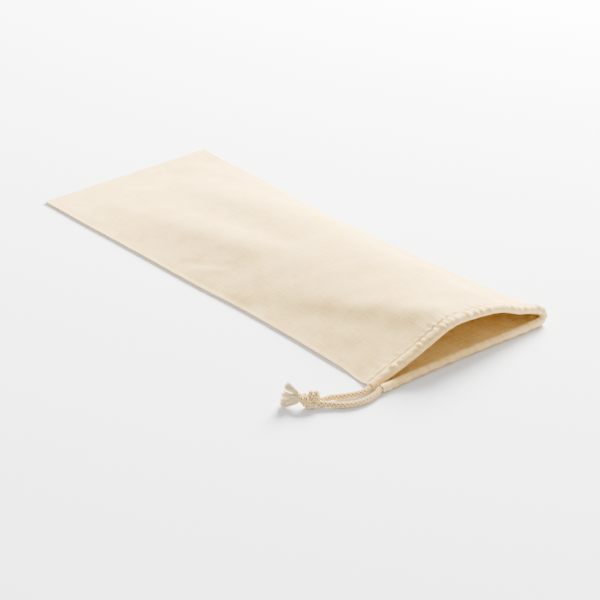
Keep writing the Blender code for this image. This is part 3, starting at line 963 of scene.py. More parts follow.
    def stitch_relief(self, distance: np.ndarray, panel: Panel) -> np.ndarray:
        """Displacement near a stitch line: a groove and the gathers that fan out from it.

        Args:
            distance: distance past the stitch line, negative on the panel's side.
            panel: which panel.

        Returns:
            Outward displacement.
        """
        far, casing = np.abs(distance), distance > 0
        groove = -self.stitch_groove * bell(distance, self.stitch_width)
        ridges = self.stitch_ridge * bell(far - self.ridge_off, self.ridge_width)
        fade = np.exp(-far / np.where(casing, self.casing_fade, self.panel_fade))
        strength = self.pucker_height * np.where(casing, 1.0, self.panel_share)
        bound = 1 - self.bound_share * bell(distance, self.ridge_width)
        gathers = self.puckers(GATHER_SEEDS[panel])[None, :] * strength * fade * bound
        wrinkles = waviness(self.across[None, :] * BAG.width, distance, CASING_WAVES,
                            WRINKLE_SEEDS[panel], (-self.wrinkle_lean, self.wrinkle_lean))
        return groove + ridges + gathers + wrinkles * np.where(
            casing, 1.0, np.exp(-far / self.wrinkle_fade))

    def side_relief(self, size: np.ndarray) -> np.ndarray:
        """Displacement along the side seams, where the turned-in edges make a thin ridge."""
        total = 0.0
        for side, share in enumerate((self.across, 1 - self.across)):
            off = share[None, :] * BAG.width
            drift = self.ripple_drift * np.sin(size / self.ripple_drift_length + side)
            ripple = self.ripple_height * np.sin(size / self.ripple_length + drift)
            swell = np.sin(size / self.ripple_swell_length + 2 * side + 0.6)
            swell = 1 - self.ripple_swell + self.ripple_swell * swell
            total = total + self.seam_ridge * bell(off - self.seam_ridge_off, self.ridge_width)
            total = total + ripple * swell * bell(off - self.ripple_off, self.ripple_width)
            total = total - self.seam_dip * bell(off - self.seam_dip_off, self.seam_dip_width)
        return total

    def top_relief(self, points: np.ndarray) -> np.ndarray:
        """Outward displacement of the top panel at its outer points."""
        size = points[:, :, 0] - BAG.fold_x
        y = points[:, :, 1] - BAG.side_y
        inward = np.minimum(self.across, 1 - self.across)[None, :] * BAG.width
        edge = smooth_step(inward / self.edge_ease)
        ends = smooth_step(size / self.fold_ease)
        total = waviness(size, y, CLOTH_WAVES, self.cloth_seed, (0, 2 * np.pi))
        for fold in FOLDS:
            total = total + fold.lift(size, y)
        return total * edge * ends + self.side_relief(size)

    def hem_relief(self, panel: Panel, points: np.ndarray) -> np.ndarray:
        """Outward displacement of a panel's outer points by its row of stitches."""
        size = points[:, :, 0] - BAG.fold_x
        return self.stitch_relief(size - self.shape.neck_reach(panel, self.across)[None, :], panel)

    def add_rows(self, rows: np.ndarray, along: np.ndarray, across: np.ndarray | float,
                 crease_shade: np.ndarray | float = 0.0) -> np.ndarray:
        """Keep rows of points.

        Args:
            rows: points by row and column.
            along: each point's distance along the flat cloth.
            across: each point's distance across the flat cloth, from its middle.
            crease_shade: how deep in a crease each point is, which sets the painted shade there.

        Returns:
            The points' vertex numbers, in the same shape.
        """
        first, shape = len(self.verts), rows.shape[:2]
        self.verts.extend(rows.reshape(-1, 3).tolist())
        pairs = [np.broadcast_to(v, shape).ravel() for v in (along, across)]
        self.places.extend(np.column_stack(pairs).tolist())
        self.crease_shades.extend(np.broadcast_to(crease_shade, shape).ravel().tolist())
        return np.arange(first, first + shape[0] * shape[1]).reshape(shape)

    def keep(self, surface: Surface, part: slice = slice(None)) -> np.ndarray:
        """Keep some rows of a surface, in the order that the slice gives."""
        return self.add_rows(surface.points[part], surface.along[part][:, None],
                             (self.across - 0.5) * BAG.width, surface.crease_shade[part])

    def crease_shaded(self, relief: np.ndarray) -> np.ndarray:
        """How deep in a crease points with a displacement are, which sets the painted shade there."""
        return np.clip(-relief / self.crease_shade_depth, 0.0, 1.0)

    def quads(self, near: np.ndarray, far: np.ndarray) -> None:
        """Faces between two lines of vertices, seen with near below and far above as it goes right."""
        for a, b, c, d in zip(near[:-1], near[1:], far[1:], far[:-1]):
            self.faces.append((int(a), int(b), int(c), int(d)))

    def build(self) -> bpy.types.Object:
        top, top_out = self.panel(Panel.UPPER)
        base, base_out = self.panel(Panel.LOWER)
        rolls = {Panel.UPPER: self.casing(Panel.UPPER, top[-1], top_out[-1]),
                 Panel.LOWER: self.casing(Panel.LOWER, base[-1], base_out[-1])}
        top_lift = self.top_relief(top)
        top_hem, base_hem = self.hem_relief(Panel.UPPER, top), self.hem_relief(Panel.LOWER, base)
        inset = self.side_wall * (1 - smooth_step((self.along - self.inset_ends) / (1 - self.inset_ends)))
        top_in = self.inner_rows(top, top_out, top_lift - self.inner_share * top_hem, inset)
        base_in = self.inner_rows(base, base_out, -self.inner_share * base_hem, inset)
        pull = SETTLE.pull(top[:, :, 0] - BAG.fold_x, self.across[None, :])
        top_in = top_in + pull
        top = top + top_out * (top_lift + top_hem)[:, :, None] + pull
        base = base + base_out * np.minimum(base_hem, 0.0)[:, :, None]
        self.seam_lines = {"upper_stitches": top[-1], "upper_stitches_inside": top_in[-1],
                           "lower_stitches": base[-1], "lower_stitches_inside": base_in[-1]}
        out, none = self.along * BAG.neck, np.zeros(top.shape[:2])
        low = self.gathered(Panel.LOWER, rolls[Panel.LOWER], base[-1])
        high = self.gathered(Panel.UPPER, rolls[Panel.UPPER], top[-1])
        # Stitch grooves and pucker valleys on the panels get painted shade
        self.join(Surface(base, out, self.crease_shaded(base_hem)), low,
                  Surface(base_in, low.along[-1] + BAG.neck - out, none),
                  Surface(top_in, high.along[-1] + BAG.neck - out, none), high,
                  Surface(top, out, self.crease_shaded(top_hem)))
        piece = self.mesh_object()
        finished(piece, "cloth", "bag_cloth")
        return piece

    def inner_rows(self, outer: np.ndarray, out: np.ndarray, lift: np.ndarray,
                   inset: np.ndarray) -> np.ndarray:
        """Inner surface of a panel: a wall's thickness inside it, drawn in at the side seams."""
        rows = outer + out * (lift - self.wall)[:, :, None]
        share = self.across[None, :]
        side = smooth_step((1 - share) * self.inset_rate) - smooth_step(share * self.inset_rate)
        rows[:, :, 1] += inset[:, None] * side
        return rows

    def gathered(self, panel: Panel, rows: np.ndarray, neck: np.ndarray) -> Surface:
        """Add the gathers to a casing, along its own surface normals."""
        profile = self.profile(panel)
        span = np.vstack((neck[None], rows, neck[None]))
        along = span[2:] - span[:-2]
        across = np.gradient(rows, axis=1)
        normal = np.cross(across, along)
        normal /= np.linalg.norm(normal, axis=2)[:, :, None]
        walked = np.cumsum(np.linalg.norm(np.diff(profile, axis=0, prepend=[[0, 0]]), axis=1))
        lift = self.stitch_relief(walked[:, None] + 0.0 * self.across[None, :], panel)
        back = profile[:, 1] < (CORD.proud - CORD.roll if panel is Panel.UPPER else -CORD.roll)
        lift = lift * np.where(back, self.back_share, 1.0)[:, None]
        moved = rows + normal * lift[:, :, None]
        if panel is Panel.LOWER:
            moved[:, :, 2] = np.maximum(moved[:, :, 2], 0.0)
        # Valleys of the casing's gathers get painted shade
        return Surface(moved, BAG.neck + walked, self.crease_shaded(lift))

    def join(self, base: Surface, base_roll: Surface, base_in: Surface, top_in: Surface,
             top_roll: Surface, top: Surface) -> None:
        """Join all the surfaces into one closed shell, as loops swept across the bag."""
        lift = np.linspace(0, np.pi, self.nose_points + 2)[1:-1]
        low, high = base.points[0], top.points[0]
        nose = np.array([(high + low) / 2 + (high - low) / 2 * math.cos(a)
                         - np.array([self.nose * (math.sin(a) - 1), 0, 0]) for a in lift])
        high[:, 0] += self.nose
        low[:, 0] += self.nose
        base_rows, base_tip = self.keep(base), self.keep(base_roll)
        base_back, top_back = self.keep(base_in, slice(None, 0, -1)), self.keep(top_in, slice(1, None))
        top_tip, top_rows = (self.keep(s, slice(None, None, -1)) for s in (top_roll, top))
        fold = self.keep(Surface(nose, np.zeros(len(nose)), np.zeros(nose.shape[:2])))
        loops = np.vstack((base_rows, base_tip, base_back, top_back, top_tip, top_rows, fold,
                           base_rows[:1]))
        for row, following in zip(loops[:-1], loops[1:]):
            self.quads(row, following)
        for column in (0, -1):
            self.side(column, base_rows, base_back[::-1], top_back, top_rows[::-1], fold)
        self.channel(Panel.LOWER, np.vstack((base_rows[-1:], base_tip, base_back[:1])))
        self.channel(Panel.UPPER, np.vstack((top_back[-1:], top_tip, top_rows[:1])))

    def side(self, column: int, base: np.ndarray, base_back: np.ndarray, top_back: np.ndarray,
             top: np.ndarray, fold: np.ndarray) -> None:
        """Close one side: the seam's grooved outer face, the inner face and their ends.

        Args:
            column: 0 for the near side and -1 for the far side.
            base: the bottom panel's outer vertices, from the fold to the mouth.
            base_back: its inner vertices.
            top_back: the top panel's inner vertices.
            top: its outer vertices.
            fold: the fold's vertices.
        """
        low, high = (np.array([self.verts[v] for v in row[:, column]]) for row in (base, top))
        sign = 1.0 if column == 0 else -1.0
        order = slice(None, None, int(sign))
        inward = np.array([0.0, sign * self.groove, 0.0])
        rows = [low + (high - low) * share + inward for share in self.groove_edges]
        # The seam groove's two rows get painted shade, a dark line along each side
        first, second = self.add_rows(np.array(rows), self.along * BAG.neck,
                                      -sign * (BAG.width / 2 + self.groove), self.groove_crease_shade)
        strips = [base[:, column], first, second, top[:, column]]
        for under, over in zip(strips[:-1], strips[1:]):
            self.quads(under[order], over[order])
        inside = (base_back[:, column], top_back[:, column])
        self.quads(inside[0][::-1][order], inside[1][::-1][order])
        nose = [strips[0][0], first[0], second[0], strips[3][0], *fold[:, column]]
        mouth = [strips[0][-1], inside[0][-1], inside[1][-1], strips[3][-1], second[-1], first[-1]]
        for ring in (nose, mouth):
            self.faces.append(tuple(int(v) for v in ring[order]))

    def channel(self, panel: Panel, ring: np.ndarray) -> None:
        """Line a casing with its open channel and close the cloth round both of its ends."""
        columns = np.append(np.arange(0, self.columns, self.channel_skip), self.columns)
        centres = self.shape.cord_centre(panel, self.across)
        radius = CORD.diameter / 2 + CORD.clearance
        verts, places = np.array(self.verts), np.array(self.places)
        lines = []
        for column in columns:
            rim = ring[:, column]
            offset = verts[rim] - centres[column]
            across = centres[min(column + 1, self.columns)] - centres[max(column - 1, 0)]
            across /= np.linalg.norm(across)
            flat = offset - np.outer(offset @ across, across)
            flat /= np.linalg.norm(flat, axis=1)[:, None]
            tube = (centres[column] + radius * flat)[None]
            lines.append(self.add_rows(tube, places[rim, 0], places[rim, 1])[0])
        for near, far in zip(lines[:-1], lines[1:]):
            self.quads(np.append(near, near[0]), np.append(far, far[0]))
        for column, line in ((0, lines[0]), (-1, lines[-1])):
            rim = np.append(ring[:, column], ring[0, column])
            hole = np.append(line, line[0])
            self.quads(rim, hole) if column == 0 else self.quads(rim[::-1], hole[::-1])

    def mesh_object(self) -> bpy.types.Object:
        """Make the mesh with its weave coordinates and material."""
        mesh = bpy.data.meshes.new("cloth_bag")
        mesh.from_pydata(self.verts, [], self.faces)
        mesh.update()
        layer = mesh.uv_layers.new(name=self.finish.uv_map)
        corners = np.empty(len(mesh.loops), dtype=np.int32)
        mesh.loops.foreach_get("vertex_index", corners)
        layer.data.foreach_set("uv", np.array(self.places, dtype=np.float32)[corners].ravel())
        depth = mesh.attributes.new(self.finish.crease_shade_attribute, "FLOAT", "POINT")
        depth.data.foreach_set("value", np.array(self.crease_shades, dtype=np.float32))
        mesh.shade_smooth()
        mesh.set_sharp_from_angle(angle=math.radians(self.sharp_angle))
        mesh.materials.append(self.finish.build())
        piece = bpy.data.objects.new("cloth_bag", mesh)
        bpy.context.collection.objects.link(piece)
        return piece


@dataclass(frozen=True)
class BraidSize:
    """Sizes of a braid of flattened strands round a core."""

    radius: float = 2.30 * MM
    weave: float = 0.50 * MM
    yarn_width: float = 0.54 * MM
    yarn_thickness: float = 0.56 * MM
    yarn_shift: float = 0.215
    core: float = 1.75 * MM
    pitch: float = 17.0 * MM
    pairs: int = 4
    step: float = 0.6 * MM
    sides: int = 7
    # These three set the painted shade: strands passing under darker, the core darkest
    over_share: float = 0.42
    middle_depth: float = 0.52
    core_depth: float = 0.05
    core_sides: int = 10


KNOT_BRAID = BraidSize(radius=2.05 * MM, weave=0.42 * MM, yarn_width=0.50 * MM,
                       yarn_thickness=0.50 * MM, core=1.6 * MM, pitch=14.0 * MM)
HIDDEN_BRAID = BraidSize(step=1.0 * MM, sides=6)


class BraidTree(GeometryTree):
    """Braids strands both ways round every spline of a curve, over and under one another.

    Each point is given its depth, from 0 in the braid's hollows to 1 on its outside, which sets the shade
    that the cord's finish paints there.
    """

    def __init__(self, name: str, size: BraidSize, material: bpy.types.Material) -> None:
        """Build the tree.

        Args:
            name: the group's name.
            size: the braid's sizes.
            material: the cord's finish.
        """
        super().__init__(name, {
            "Radius": size.radius, "Weave": size.weave, "Yarn Width": size.yarn_width,
            "Yarn Thickness": size.yarn_thickness, "Yarn Shift": size.yarn_shift,
            "Core": size.core, "Pitch": size.pitch, "Pairs": size.pairs, "Step": size.step,
            "Sides": size.sides})
        given = self.inputs
        line = self.resampled()
        amount = self.times(given["Pairs"], 4.0)
        copies = self.node("GeometryNodeDuplicateElements", {"Geometry": line, "Amount": amount},
                           domain="SPLINE")
        index = copies.outputs["Duplicate Index"]
        half = self.math("FLOOR", self.math("DIVIDE", index, 2.0))
        sign = self.either(self.math("MODULO", index, 2.0))
        yarn = self.either(self.math("MODULO", half, 2.0))
        strand = self.math("FLOOR", self.math("DIVIDE", index, 4.0))
        turn = self.times(self.math("DIVIDE", strand, given["Pairs"]), 2 * math.pi)
        length = self.node("GeometryNodeSplineParameter").outputs["Length"]
        phase = self.times(self.math("DIVIDE", length, given["Pitch"]), 2 * math.pi)
        angle = self.plus(self.times(phase, sign), turn)
        angle = self.plus(angle, self.times(yarn, given["Yarn Shift"]))
        over = self.times(self.math("COSINE", self.times(phase, given["Pairs"])), sign)
        reach = self.plus(given["Radius"], self.times(over, given["Weave"]))
        radial = self.radial(angle)
        marked = self.keep(copies.outputs["Geometry"], "radial", radial, "FLOAT_VECTOR")
        marked = self.keep(marked, "over", over)
        moved = self.node("GeometryNodeSetPosition", {
            "Geometry": marked, "Offset": self.vector("SCALE", radial, reach)})
        turned = self.node("GeometryNodeSetCurveNormal", {
            "Curve": moved, "Normal": self.kept("radial", "FLOAT_VECTOR")}, mode="FREE")
        circle = self.node("GeometryNodeCurvePrimitiveCircle", {"Resolution": given["Sides"],
                                                                "Radius": 1.0})
        scale = self.node("ShaderNodeCombineXYZ", {0: given["Yarn Thickness"],
                                                   1: given["Yarn Width"], 2: 1.0})
        oval = self.node("GeometryNodeTransform", {"Geometry": circle, "Scale": scale})
        # Depth for the painted shade, lower where a strand passes under
        depth = self.plus(self.times(self.kept("over"), size.over_share), size.middle_depth)
        strands = self.keep(self.swept(turned, oval), "depth", depth)
        ring = self.node("GeometryNodeCurvePrimitiveCircle", {"Resolution": size.core_sides,
                                                              "Radius": given["Core"]})
        core = self.keep(self.swept(line, ring), "depth", size.core_depth)
        both = self.node("GeometryNodeJoinGeometry", {0: strands})
        self.feed(both, 0, core)
        self.close(both, material)

    def either(self, flag: object) -> bpy.types.NodeSocket:
        """1 for a flag of 0 and -1 for a flag of 1."""
        return self.math("SUBTRACT", 1.0, self.times(flag, 2.0))


def even_route(places: np.ndarray, step: float) -> np.ndarray:
    """Evenly spaced points on a smooth curve through places.

    Args:
        places: the points that it runs through.
        step: distance between the points returned.

    Returns:
        The points, one in each row.
    """
    ends = np.vstack((places[0] * 2 - places[1], places, places[-1] * 2 - places[-2]))
    u = np.linspace(0, 1, 24, endpoint=False)[:, None]
    dense = [((b * 2) + (c - a) * u + (a * 2 - b * 5 + c * 4 - d) * u**2
              + (b * 3 - a - c * 3 + d) * u**3) / 2
             for a, b, c, d in zip(ends, ends[1:], ends[2:], ends[3:])]
    line = np.vstack((*dense, places[-1]))
    walked = np.concatenate(([0.0], np.cumsum(np.linalg.norm(np.diff(line, axis=0), axis=1))))
    count = max(round(walked[-1] / step), 4)
    even = np.linspace(0.0, walked[-1], count + 1)
    return np.column_stack([np.interp(even, walked, line[:, k]) for k in range(3)])


def walked_length(points: np.ndarray) -> float:
    """Length of a line through points."""
    return float(np.linalg.norm(np.diff(points, axis=0), axis=1).sum())


@dataclass
class Drawcord:
    """The braided cord: its run through the casings and its two free ends."""

    shape: BagShape
    tree: BraidTree
    hidden_tree: BraidTree
    knot: np.ndarray
    tucked: float = 8.0 * MM
    route_step: float = 2.0 * MM
    columns: int = 90
    into_knot: float = 0.45

    def run(self) -> np.ndarray:
        """Centreline inside the casings, out along the top one and back in the bottom one."""
        shares = 0.5 - 0.5 * np.cos(np.linspace(0, np.pi, self.columns))
        out = self.shape.cord_centre(Panel.UPPER, shares)
        back = self.shape.cord_centre(Panel.LOWER, shares[::-1])
        return np.vstack((out, back[1:]))

    def free_end(self, panel: Panel, route: tuple) -> np.ndarray:
        """Centreline of one free end, from inside its casing to the knot's surface."""
        inside = self.tucked / BAG.width
        start = self.shape.cord_centre(panel, np.array([inside, inside / 2, 0.0]))
        outward = start[2] - start[1]
        outward /= np.linalg.norm(outward)
        straight = start[2] + outward * CORD.exit_straight
        places = np.array(route) * MM
        if panel is Panel.UPPER:
            walked = np.linalg.norm(places - start[2], axis=1)
            faded = 1 - smooth_step(walked / SETTLE.corner_fade)
            places = places + faded[:, None] * np.array(SETTLE.corner)
        return even_route(np.vstack((start, straight, places)), self.route_step)

    def build(self, going: list[bpy.types.Object]) -> None:
        """Args:
            going: the pieces at the cords' far end; not used.
        """
        run = even_route(self.run(), self.route_step)
        finished(self.hidden_tree.apply("cord_in_casings", curve_object("run", [run])), "cord",
                 "drawcord_run")
        for panel, route, node in ((Panel.UPPER, UPPER_ROUTE, "cord_end_upper"),
                                   (Panel.LOWER, LOWER_ROUTE, "cord_end_lower")):
            line = self.free_end(panel, route)
            tail = np.vstack((line, line[-1] + (self.knot - line[-1]) * self.into_knot))
            piece = self.tree.apply(f"braided_{node}", curve_object(node, [tail]))
            finished(piece, "cord", node)
            log.info("%s is %.1f mm long", node, walked_length(tail) / MM)


class Lobe(NamedTuple):
    """One wound lobe of the knot. Lengths are in millimetres about the knot's middle.

    Along points to the frayed ends, front to the camera's side, and the lean is how far the
    lobe's top leans towards the frayed ends.
    """

    along: float
    front: float
    up: float
    depth: float
    height: float
    lean: float
    start: float
    stop: float


@dataclass
class Knot:
    """The overhand knot: two lobes of paired cord round a twisted pair that runs through them."""

    tree: BraidTree
    centre: np.ndarray = field(default_factory=lambda: np.array([265.0, -193.0, 8.0]) * MM)
    azimuth: float = math.radians(226.0)
    strand: float = 2.55 * MM
    tuck: float = 0.45
    floor: float = 2.9 * MM
    lobes: tuple = (
        Lobe(-4.5, -1.4, 1.2, 4.3, 4.3, 0.9, -125, 215),
        Lobe(3.0, 3.4, -0.9, 4.4, 4.3, 3.4, -150, 190),
    )
    through: tuple = ((-9.5, 0.0, 0.2), (-4.0, 0.6, 0.4), (2.0, 0.8, 1.2), (7.5, 0.3, 2.6),
                      (12.5, 0.0, 2.4))
    twist: float = 1.35 * math.pi
    lobe_steps: int = 56
    tuck_turn: float = 45.0
    apart: float = 1.9 * MM

    def axes(self) -> tuple[np.ndarray, np.ndarray, np.ndarray]:
        """Unit vectors towards the frayed ends, towards the camera's side, and up."""
        along = np.array([math.cos(self.azimuth), math.sin(self.azimuth), 0.0])
        up = np.array([0.0, 0.0, 1.0])
        return along, np.cross(up, along), up

    def place(self, along: float, front: float, up: float) -> np.ndarray:
        """Point in the model's frame from a place about the knot's middle."""
        axes = self.axes()
        return self.centre + axes[0] * along + axes[1] * front + axes[2] * up

    def lobe_line(self, lobe: Lobe, side: float) -> np.ndarray:
        """Centreline of one of a lobe's two strands, its ends tucked in towards the middle."""
        points = []
        for degrees in np.linspace(lobe.start, lobe.stop, self.lobe_steps):
            turn = math.radians(degrees)
            left = min(degrees - lobe.start, lobe.stop - degrees)
            share = self.tuck + (1 - self.tuck) * float(smooth_step(left / self.tuck_turn))
            lean = lobe.lean * math.sin(turn)
            points.append(self.place((lobe.along + lean) * MM + side * self.strand,
                                     (lobe.front + lobe.depth * share * math.cos(turn)) * MM,
                                     (lobe.up + lobe.height * share * math.sin(turn)) * MM))
        line = np.array(points)
        line[:, 2] = np.maximum(line[:, 2], self.floor)
        return line

    def through_line(self, side: float) -> np.ndarray:
        """Centreline of one of the two strands that run twisted through the knot."""
        middle = even_route(np.array([self.place(*(v * MM for v in p)) for p in self.through]),
                            1.0 * MM)
        axes = self.axes()
        turns = np.linspace(0.0, self.twist, len(middle)) + (math.pi if side > 0 else 0.0)
        return middle + self.apart * (np.outer(np.cos(turns), axes[1]) + np.outer(np.sin(turns), axes[2]))

    def build(self) -> bpy.types.Object:
        """Make the knot."""
        lines = [self.lobe_line(lobe, side) for lobe in self.lobes for side in (-1.0, 1.0)]
        lines += [self.through_line(side) for side in (-1.0, 1.0)]
        piece = self.tree.apply("tied_knot", curve_object("knot_lines", lines))
        return finished(piece, "cord", "knot")


@dataclass(frozen=True)
class LockSize:
    """Sizes of the locks of loose yarn behind the knot."""

    plies: int = 15
    fibres: int = 8
    radius: float = 2.5 * MM
    ply_radius: float = 0.5 * MM
    spread: float = 0.75
    fibre: float = 0.16 * MM
    wave: float = 2.2 * MM
    step: float = 1.0 * MM
    floor: float = 0.25 * MM
    seed: int = 4
    root_width: float = 0.55
    root_opening: float = 0.8
    end_opening: float = 1.6
    wave_rate: float = 110.0
    frizz_rate: float = 260.0
    shortest: float = 0.74
    ply_unevenness: float = 0.20
    fibre_unevenness: float = 0.06
    lock_stride: float = 500.0
    spread_power: float = 1.4
    opening_power: float = 3.0
    inner_depth: float = 0.3
    outer_share: float = 0.45
    ply_share: float = 0.3


class LockTree(GeometryTree):
    """Turns each spline into a lock of wavy plies, each of fine fibres, that opens at its end."""

    def __init__(self, size: LockSize, material: bpy.types.Material) -> None:
        """Build the tree.

        Args:
            size: the locks' sizes.
            material: the yarn's finish.
        """
        super().__init__("frayed_lock", {
            "Plies": size.plies, "Fibres": size.fibres, "Radius": size.radius,
            "Ply Radius": size.ply_radius, "Spread": size.spread, "Fibre Radius": size.fibre,
            "Wave": size.wave, "Step": size.step, "Floor": size.floor, "Seed": size.seed})
        given = self.inputs
        root = self.node("GeometryNodeInputPosition")
        marked = self.keep(self.resampled(), "lock", self.node("GeometryNodeInputIndex"),
                           domain="CURVE")
        copies = self.node("GeometryNodeDuplicateElements", {
            "Geometry": marked, "Amount": self.times(given["Plies"], given["Fibres"])},
            domain="SPLINE")
        first = self.times(self.kept("lock"), size.lock_stride)
        fibre = self.plus(copies.outputs["Duplicate Index"], first)
        ply = self.math("FLOOR", self.math("DIVIDE", fibre, given["Fibres"]))
        spline = self.node("GeometryNodeSplineParameter")
        length, along = spline.outputs["Length"], spline.outputs["Factor"]
        widening = self.times(self.math("POWER", along, size.spread_power), given["Spread"])
        share = self.math("SQRT", self.chance(ply, 2.0))
        wide = self.times(self.times(given["Radius"], share), self.plus(size.root_width, widening))
        opening = self.times(self.math("POWER", along, size.opening_power), size.end_opening)
        opened = self.times(given["Ply Radius"], self.plus(size.root_opening, opening))
        fine = self.times(self.math("SQRT", self.chance(fibre, 5.0)), opened)
        offset = self.vector("ADD", self.around(self.chance(ply, 1.0), wide),
                             self.around(self.chance(fibre, 6.0), fine))
        for key, rate, size_name in ((ply, size.wave_rate, "Wave"),
                                     (fibre, size.frizz_rate, "Ply Radius")):
            swing = self.vector("SCALE", self.swing(length, key, rate),
                                self.times(given[size_name], along))
            offset = self.vector("ADD", offset, swing)
        # Depth for the painted shade: fibres near the lock's middle darker, plus random tone for each ply
        depth = self.plus(size.inner_depth, self.times(share, size.outer_share))
        depth = self.plus(depth, self.times(self.chance(ply, 8.0), size.ply_share))
        deep = self.keep(copies.outputs["Geometry"], "depth", depth)
        moved = self.node("GeometryNodeSetPosition", {"Geometry": deep, "Offset": offset})
        parts = self.node("ShaderNodeSeparateXYZ", {0: root}).outputs
        raised = self.node("ShaderNodeCombineXYZ", {
            0: parts[0], 1: parts[1], 2: self.math("MAXIMUM", parts[2], given["Floor"])})
        laid = self.node("GeometryNodeSetPosition", {"Geometry": moved, "Position": raised})
        end = self.plus(size.shortest, self.times(self.chance(ply, 3.0), size.ply_unevenness))
        end = self.plus(end, self.times(self.chance(fibre, 7.0), size.fibre_unevenness))
        trimmed = self.node("GeometryNodeTrimCurve", {"Curve": laid}, mode="FACTOR")
        self.feed(trimmed, "End", end)
        ring = self.node("GeometryNodeCurvePrimitiveCircle", {
            "Resolution": 3, "Radius": given["Fibre Radius"]})
        self.close(self.swept(trimmed, ring), material)

    def chance(self, key: object, shift: float) -> bpy.types.NodeSocket:
        """A random number from 0 to 1 that is the same wherever the key is."""
        place = self.node("ShaderNodeCombineXYZ", {0: key, 1: shift, 2: self.inputs["Seed"]})
        return self.node("ShaderNodeTexWhiteNoise", {"Vector": place}).outputs["Value"]

    def around(self, turn: object, reach: object) -> bpy.types.NodeSocket:
        """Offset from the curve at a share of a whole turn round it."""
        return self.vector("SCALE", self.radial(self.times(turn, 2 * math.pi)), reach)

    def swing(self, length: object, key: object, scale: float) -> bpy.types.NodeSocket:
        """Smooth random offset along a curve, from about -0.5 to 0.5 each way."""
        seat = self.node("ShaderNodeCombineXYZ", {
            0: self.times(length, scale), 1: self.times(key, 3.7), 2: 0.0})
        noise = self.node("ShaderNodeTexNoise", {"Vector": seat, "Scale": 1.0, "Detail": 1.0})
        return self.vector("SUBTRACT", noise.outputs["Color"], (0.5, 0.5, 0.5))


@dataclass
class FrayedEnds:
    """Locks of loose yarn where the cords' ends have come undone."""

    tree: LockTree
    knot: Knot
    step: float = 1.0 * MM

    # Each lock's points about the knot's middle, in millimetres: along, front, up
    locks: tuple = (
        ((9.0, 0.0, 3.0), (13.0, -1.5, 6.0), (18.0, -3.5, 10.0), (25.0, -6.0, 15.0)),
        ((9.0, 0.5, 3.0), (14.5, -0.3, 5.6), (20.0, -1.0, 9.2), (27.0, -2.0, 12.0)),
        ((9.0, 0.5, 2.0), (15.5, 0.6, 2.8), (22.0, 0.6, 4.0), (30.0, 0.0, 5.6)),
        ((9.0, 1.0, 1.4), (15.5, 1.8, -0.4), (22.5, 2.4, -1.4), (31.0, 2.0, -1.8)),
        ((9.0, 1.5, 0.6), (14.5, 3.4, -2.8), (21.5, 4.6, -4.4), (30.5, 4.2, -5.0)),
        ((9.0, -0.5, 1.6), (15.0, -3.0, 0.6), (21.5, -4.6, -1.2), (29.0, -5.8, -3.2)),
    )

    def build(self) -> bpy.types.Object:
        """Make the locks."""
        lines = [even_route(np.array([self.knot.place(*(v * MM for v in point))
                                      for point in lock]), self.step) for lock in self.locks]
        piece = self.tree.apply("frayed_yarn", curve_object("lock_lines", lines))
        return finished(piece, "cord", "frayed_ends")


@dataclass(frozen=True)
class StitchSize:
    """Sizes of a row of stitches."""

    pitch: float = 3.3 * MM
    length: float = 2.6 * MM
    thread: float = 0.55 * MM


class StitchTree(GeometryTree):
    """Lays one stitch after another along every spline of a curve."""

    def __init__(self, size: StitchSize, material: bpy.types.Material) -> None:
        """Build the tree.

        Args:
            size: the stitches' sizes.
            material: the thread's finish.
        """
        super().__init__("stitch_row", {"Pitch": size.pitch, "Length": size.length,
                                        "Thread": size.thread})
        given = self.inputs
        points = self.node("GeometryNodeCurveToPoints", {"Curve": given["Geometry"],
                                                         "Length": given["Pitch"]}, mode="LENGTH")
        ball = self.node("GeometryNodeMeshUVSphere", {"Segments": 6, "Rings": 5, "Radius": 0.5})
        scale = self.node("ShaderNodeCombineXYZ", {0: given["Thread"], 1: given["Thread"],
                                                   2: given["Length"]})
        stitch = self.node("GeometryNodeTransform", {"Geometry": ball.outputs[0], "Scale": scale})
        rows = self.node("GeometryNodeInstanceOnPoints", {
            "Points": points.outputs["Points"], "Instance": stitch,
            "Rotation": points.outputs["Rotation"]})
        self.close(rows, material)


@dataclass
class Stitching:
    """The rows of stitches that hold both hems."""

    size: StitchSize
    tree: StitchTree

    def row(self, points: np.ndarray) -> np.ndarray:
        """Line of a row of stitches, along a line of the cloth's own points."""
        line = even_route(points[1:-1:2], 1.0 * MM)
        line[:, 2] = np.maximum(line[:, 2], self.size.thread / 2)
        return line

    def build(self, lines: dict[str, np.ndarray]) -> list[bpy.types.Object]:
        """Make the rows.

        Args:
            lines: a piece's name to the line that its stitches follow.

        Returns:
            The finished pieces.
        """
        made = []
        for name, points in lines.items():
            piece = self.tree.apply(name, curve_object(f"{name}_line", [self.row(points)]))
            made.append(finished(piece, "cloth"))
        return made


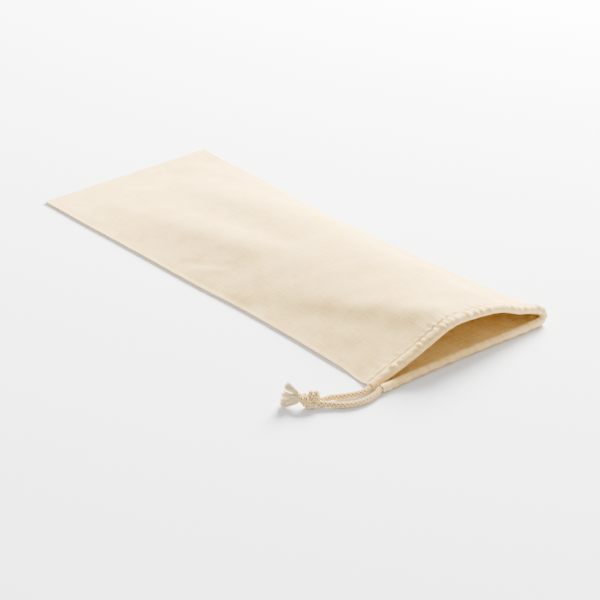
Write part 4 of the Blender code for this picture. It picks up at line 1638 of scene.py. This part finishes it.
@dataclass
class Studio:
    """Camera, lights and white floor."""

    lens: float = 100.8
    sensor: float = 36.0
    pitch: float = math.radians(28.184)
    azimuth: float = math.radians(48.881)
    position: tuple = (1.3282, -1.1346, 0.8800)
    sky: float = 1.22
    key_power: float = 1320.0
    key_place: tuple = (-1.05, 2.4, 1.5)
    key_side: float = 1.4
    tint: tuple = (1.0, 0.93, 0.80)
    floor_side: float = 14.0

    def build(self) -> None:
        """Make the camera, the lights and the floor."""
        self.camera()
        self.floor()
        self.world()
        self.area("key", self.key_place, self.key_side, self.key_power)

    def camera(self) -> None:
        """Place the camera as the photograph's was."""
        data = bpy.data.cameras.new("camera")
        data.lens = self.lens
        data.sensor_width = self.sensor
        data.clip_start, data.clip_end = 0.05, 100.0
        item = bpy.data.objects.new("camera", data)
        bpy.context.collection.objects.link(item)
        look = Vector((-math.sin(self.azimuth) * math.cos(self.pitch),
                       math.cos(self.azimuth) * math.cos(self.pitch), -math.sin(self.pitch)))
        item.location = self.position
        item.rotation_euler = look.to_track_quat("-Z", "Y").to_euler()
        bpy.context.scene.camera = item

    def floor(self) -> None:
        """Lay the paper that the bag lies on."""
        half = self.floor_side / 2
        mesh = bpy.data.meshes.new("floor")
        mesh.from_pydata([(-half, -half, 0), (half, -half, 0), (half, half, 0), (-half, half, 0)],
                         [], [(0, 1, 2, 3)])
        mesh.materials.append(FloorFinish().build())
        item = bpy.data.objects.new("floor", mesh)
        bpy.context.collection.objects.link(item)

    def world(self) -> None:
        """Light the scene evenly from all round."""
        world = bpy.data.worlds.new("studio")
        world.use_nodes = True
        background = world.node_tree.nodes["Background"]
        background.inputs["Color"].default_value = (*self.tint, 1.0)
        background.inputs["Strength"].default_value = self.sky
        bpy.context.scene.world = world

    def area(self, name: str, place: tuple, side: float, power: float) -> None:
        """Add a soft light that faces the bag."""
        data = bpy.data.lights.new(name, "AREA")
        data.size = side
        data.energy = power
        data.color = self.tint
        item = bpy.data.objects.new(name, data)
        item.location = place
        item.rotation_euler = (-Vector(place)).to_track_quat("-Z", "Y").to_euler()
        bpy.context.collection.objects.link(item)


def main() -> None:
    """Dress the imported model, one sub-assembly after another."""
    logging.basicConfig(level=logging.INFO, format="%(message)s")
    Studio().build()
    shape = BagShape()
    cord = CordFinish().build()
    knot = Knot(BraidTree("knot_braid", KNOT_BRAID, cord))
    tied = knot.build()
    frayed = FrayedEnds(LockTree(LockSize(), LOOSE_YARN.build()), knot).build()
    seen = BraidTree("cord_braid", BraidSize(), cord)
    hidden = BraidTree("hidden_braid", HIDDEN_BRAID, cord)
    Drawcord(shape, seen, hidden, knot.centre).build([tied, frayed])
    cloth = ClothBag(shape, ClothFinish())
    bag = cloth.build()
    stitch = StitchSize()
    rows = Stitching(stitch, StitchTree(stitch, THREAD.build())).build(cloth.seam_lines)


if __name__ == "__main__":
    main()
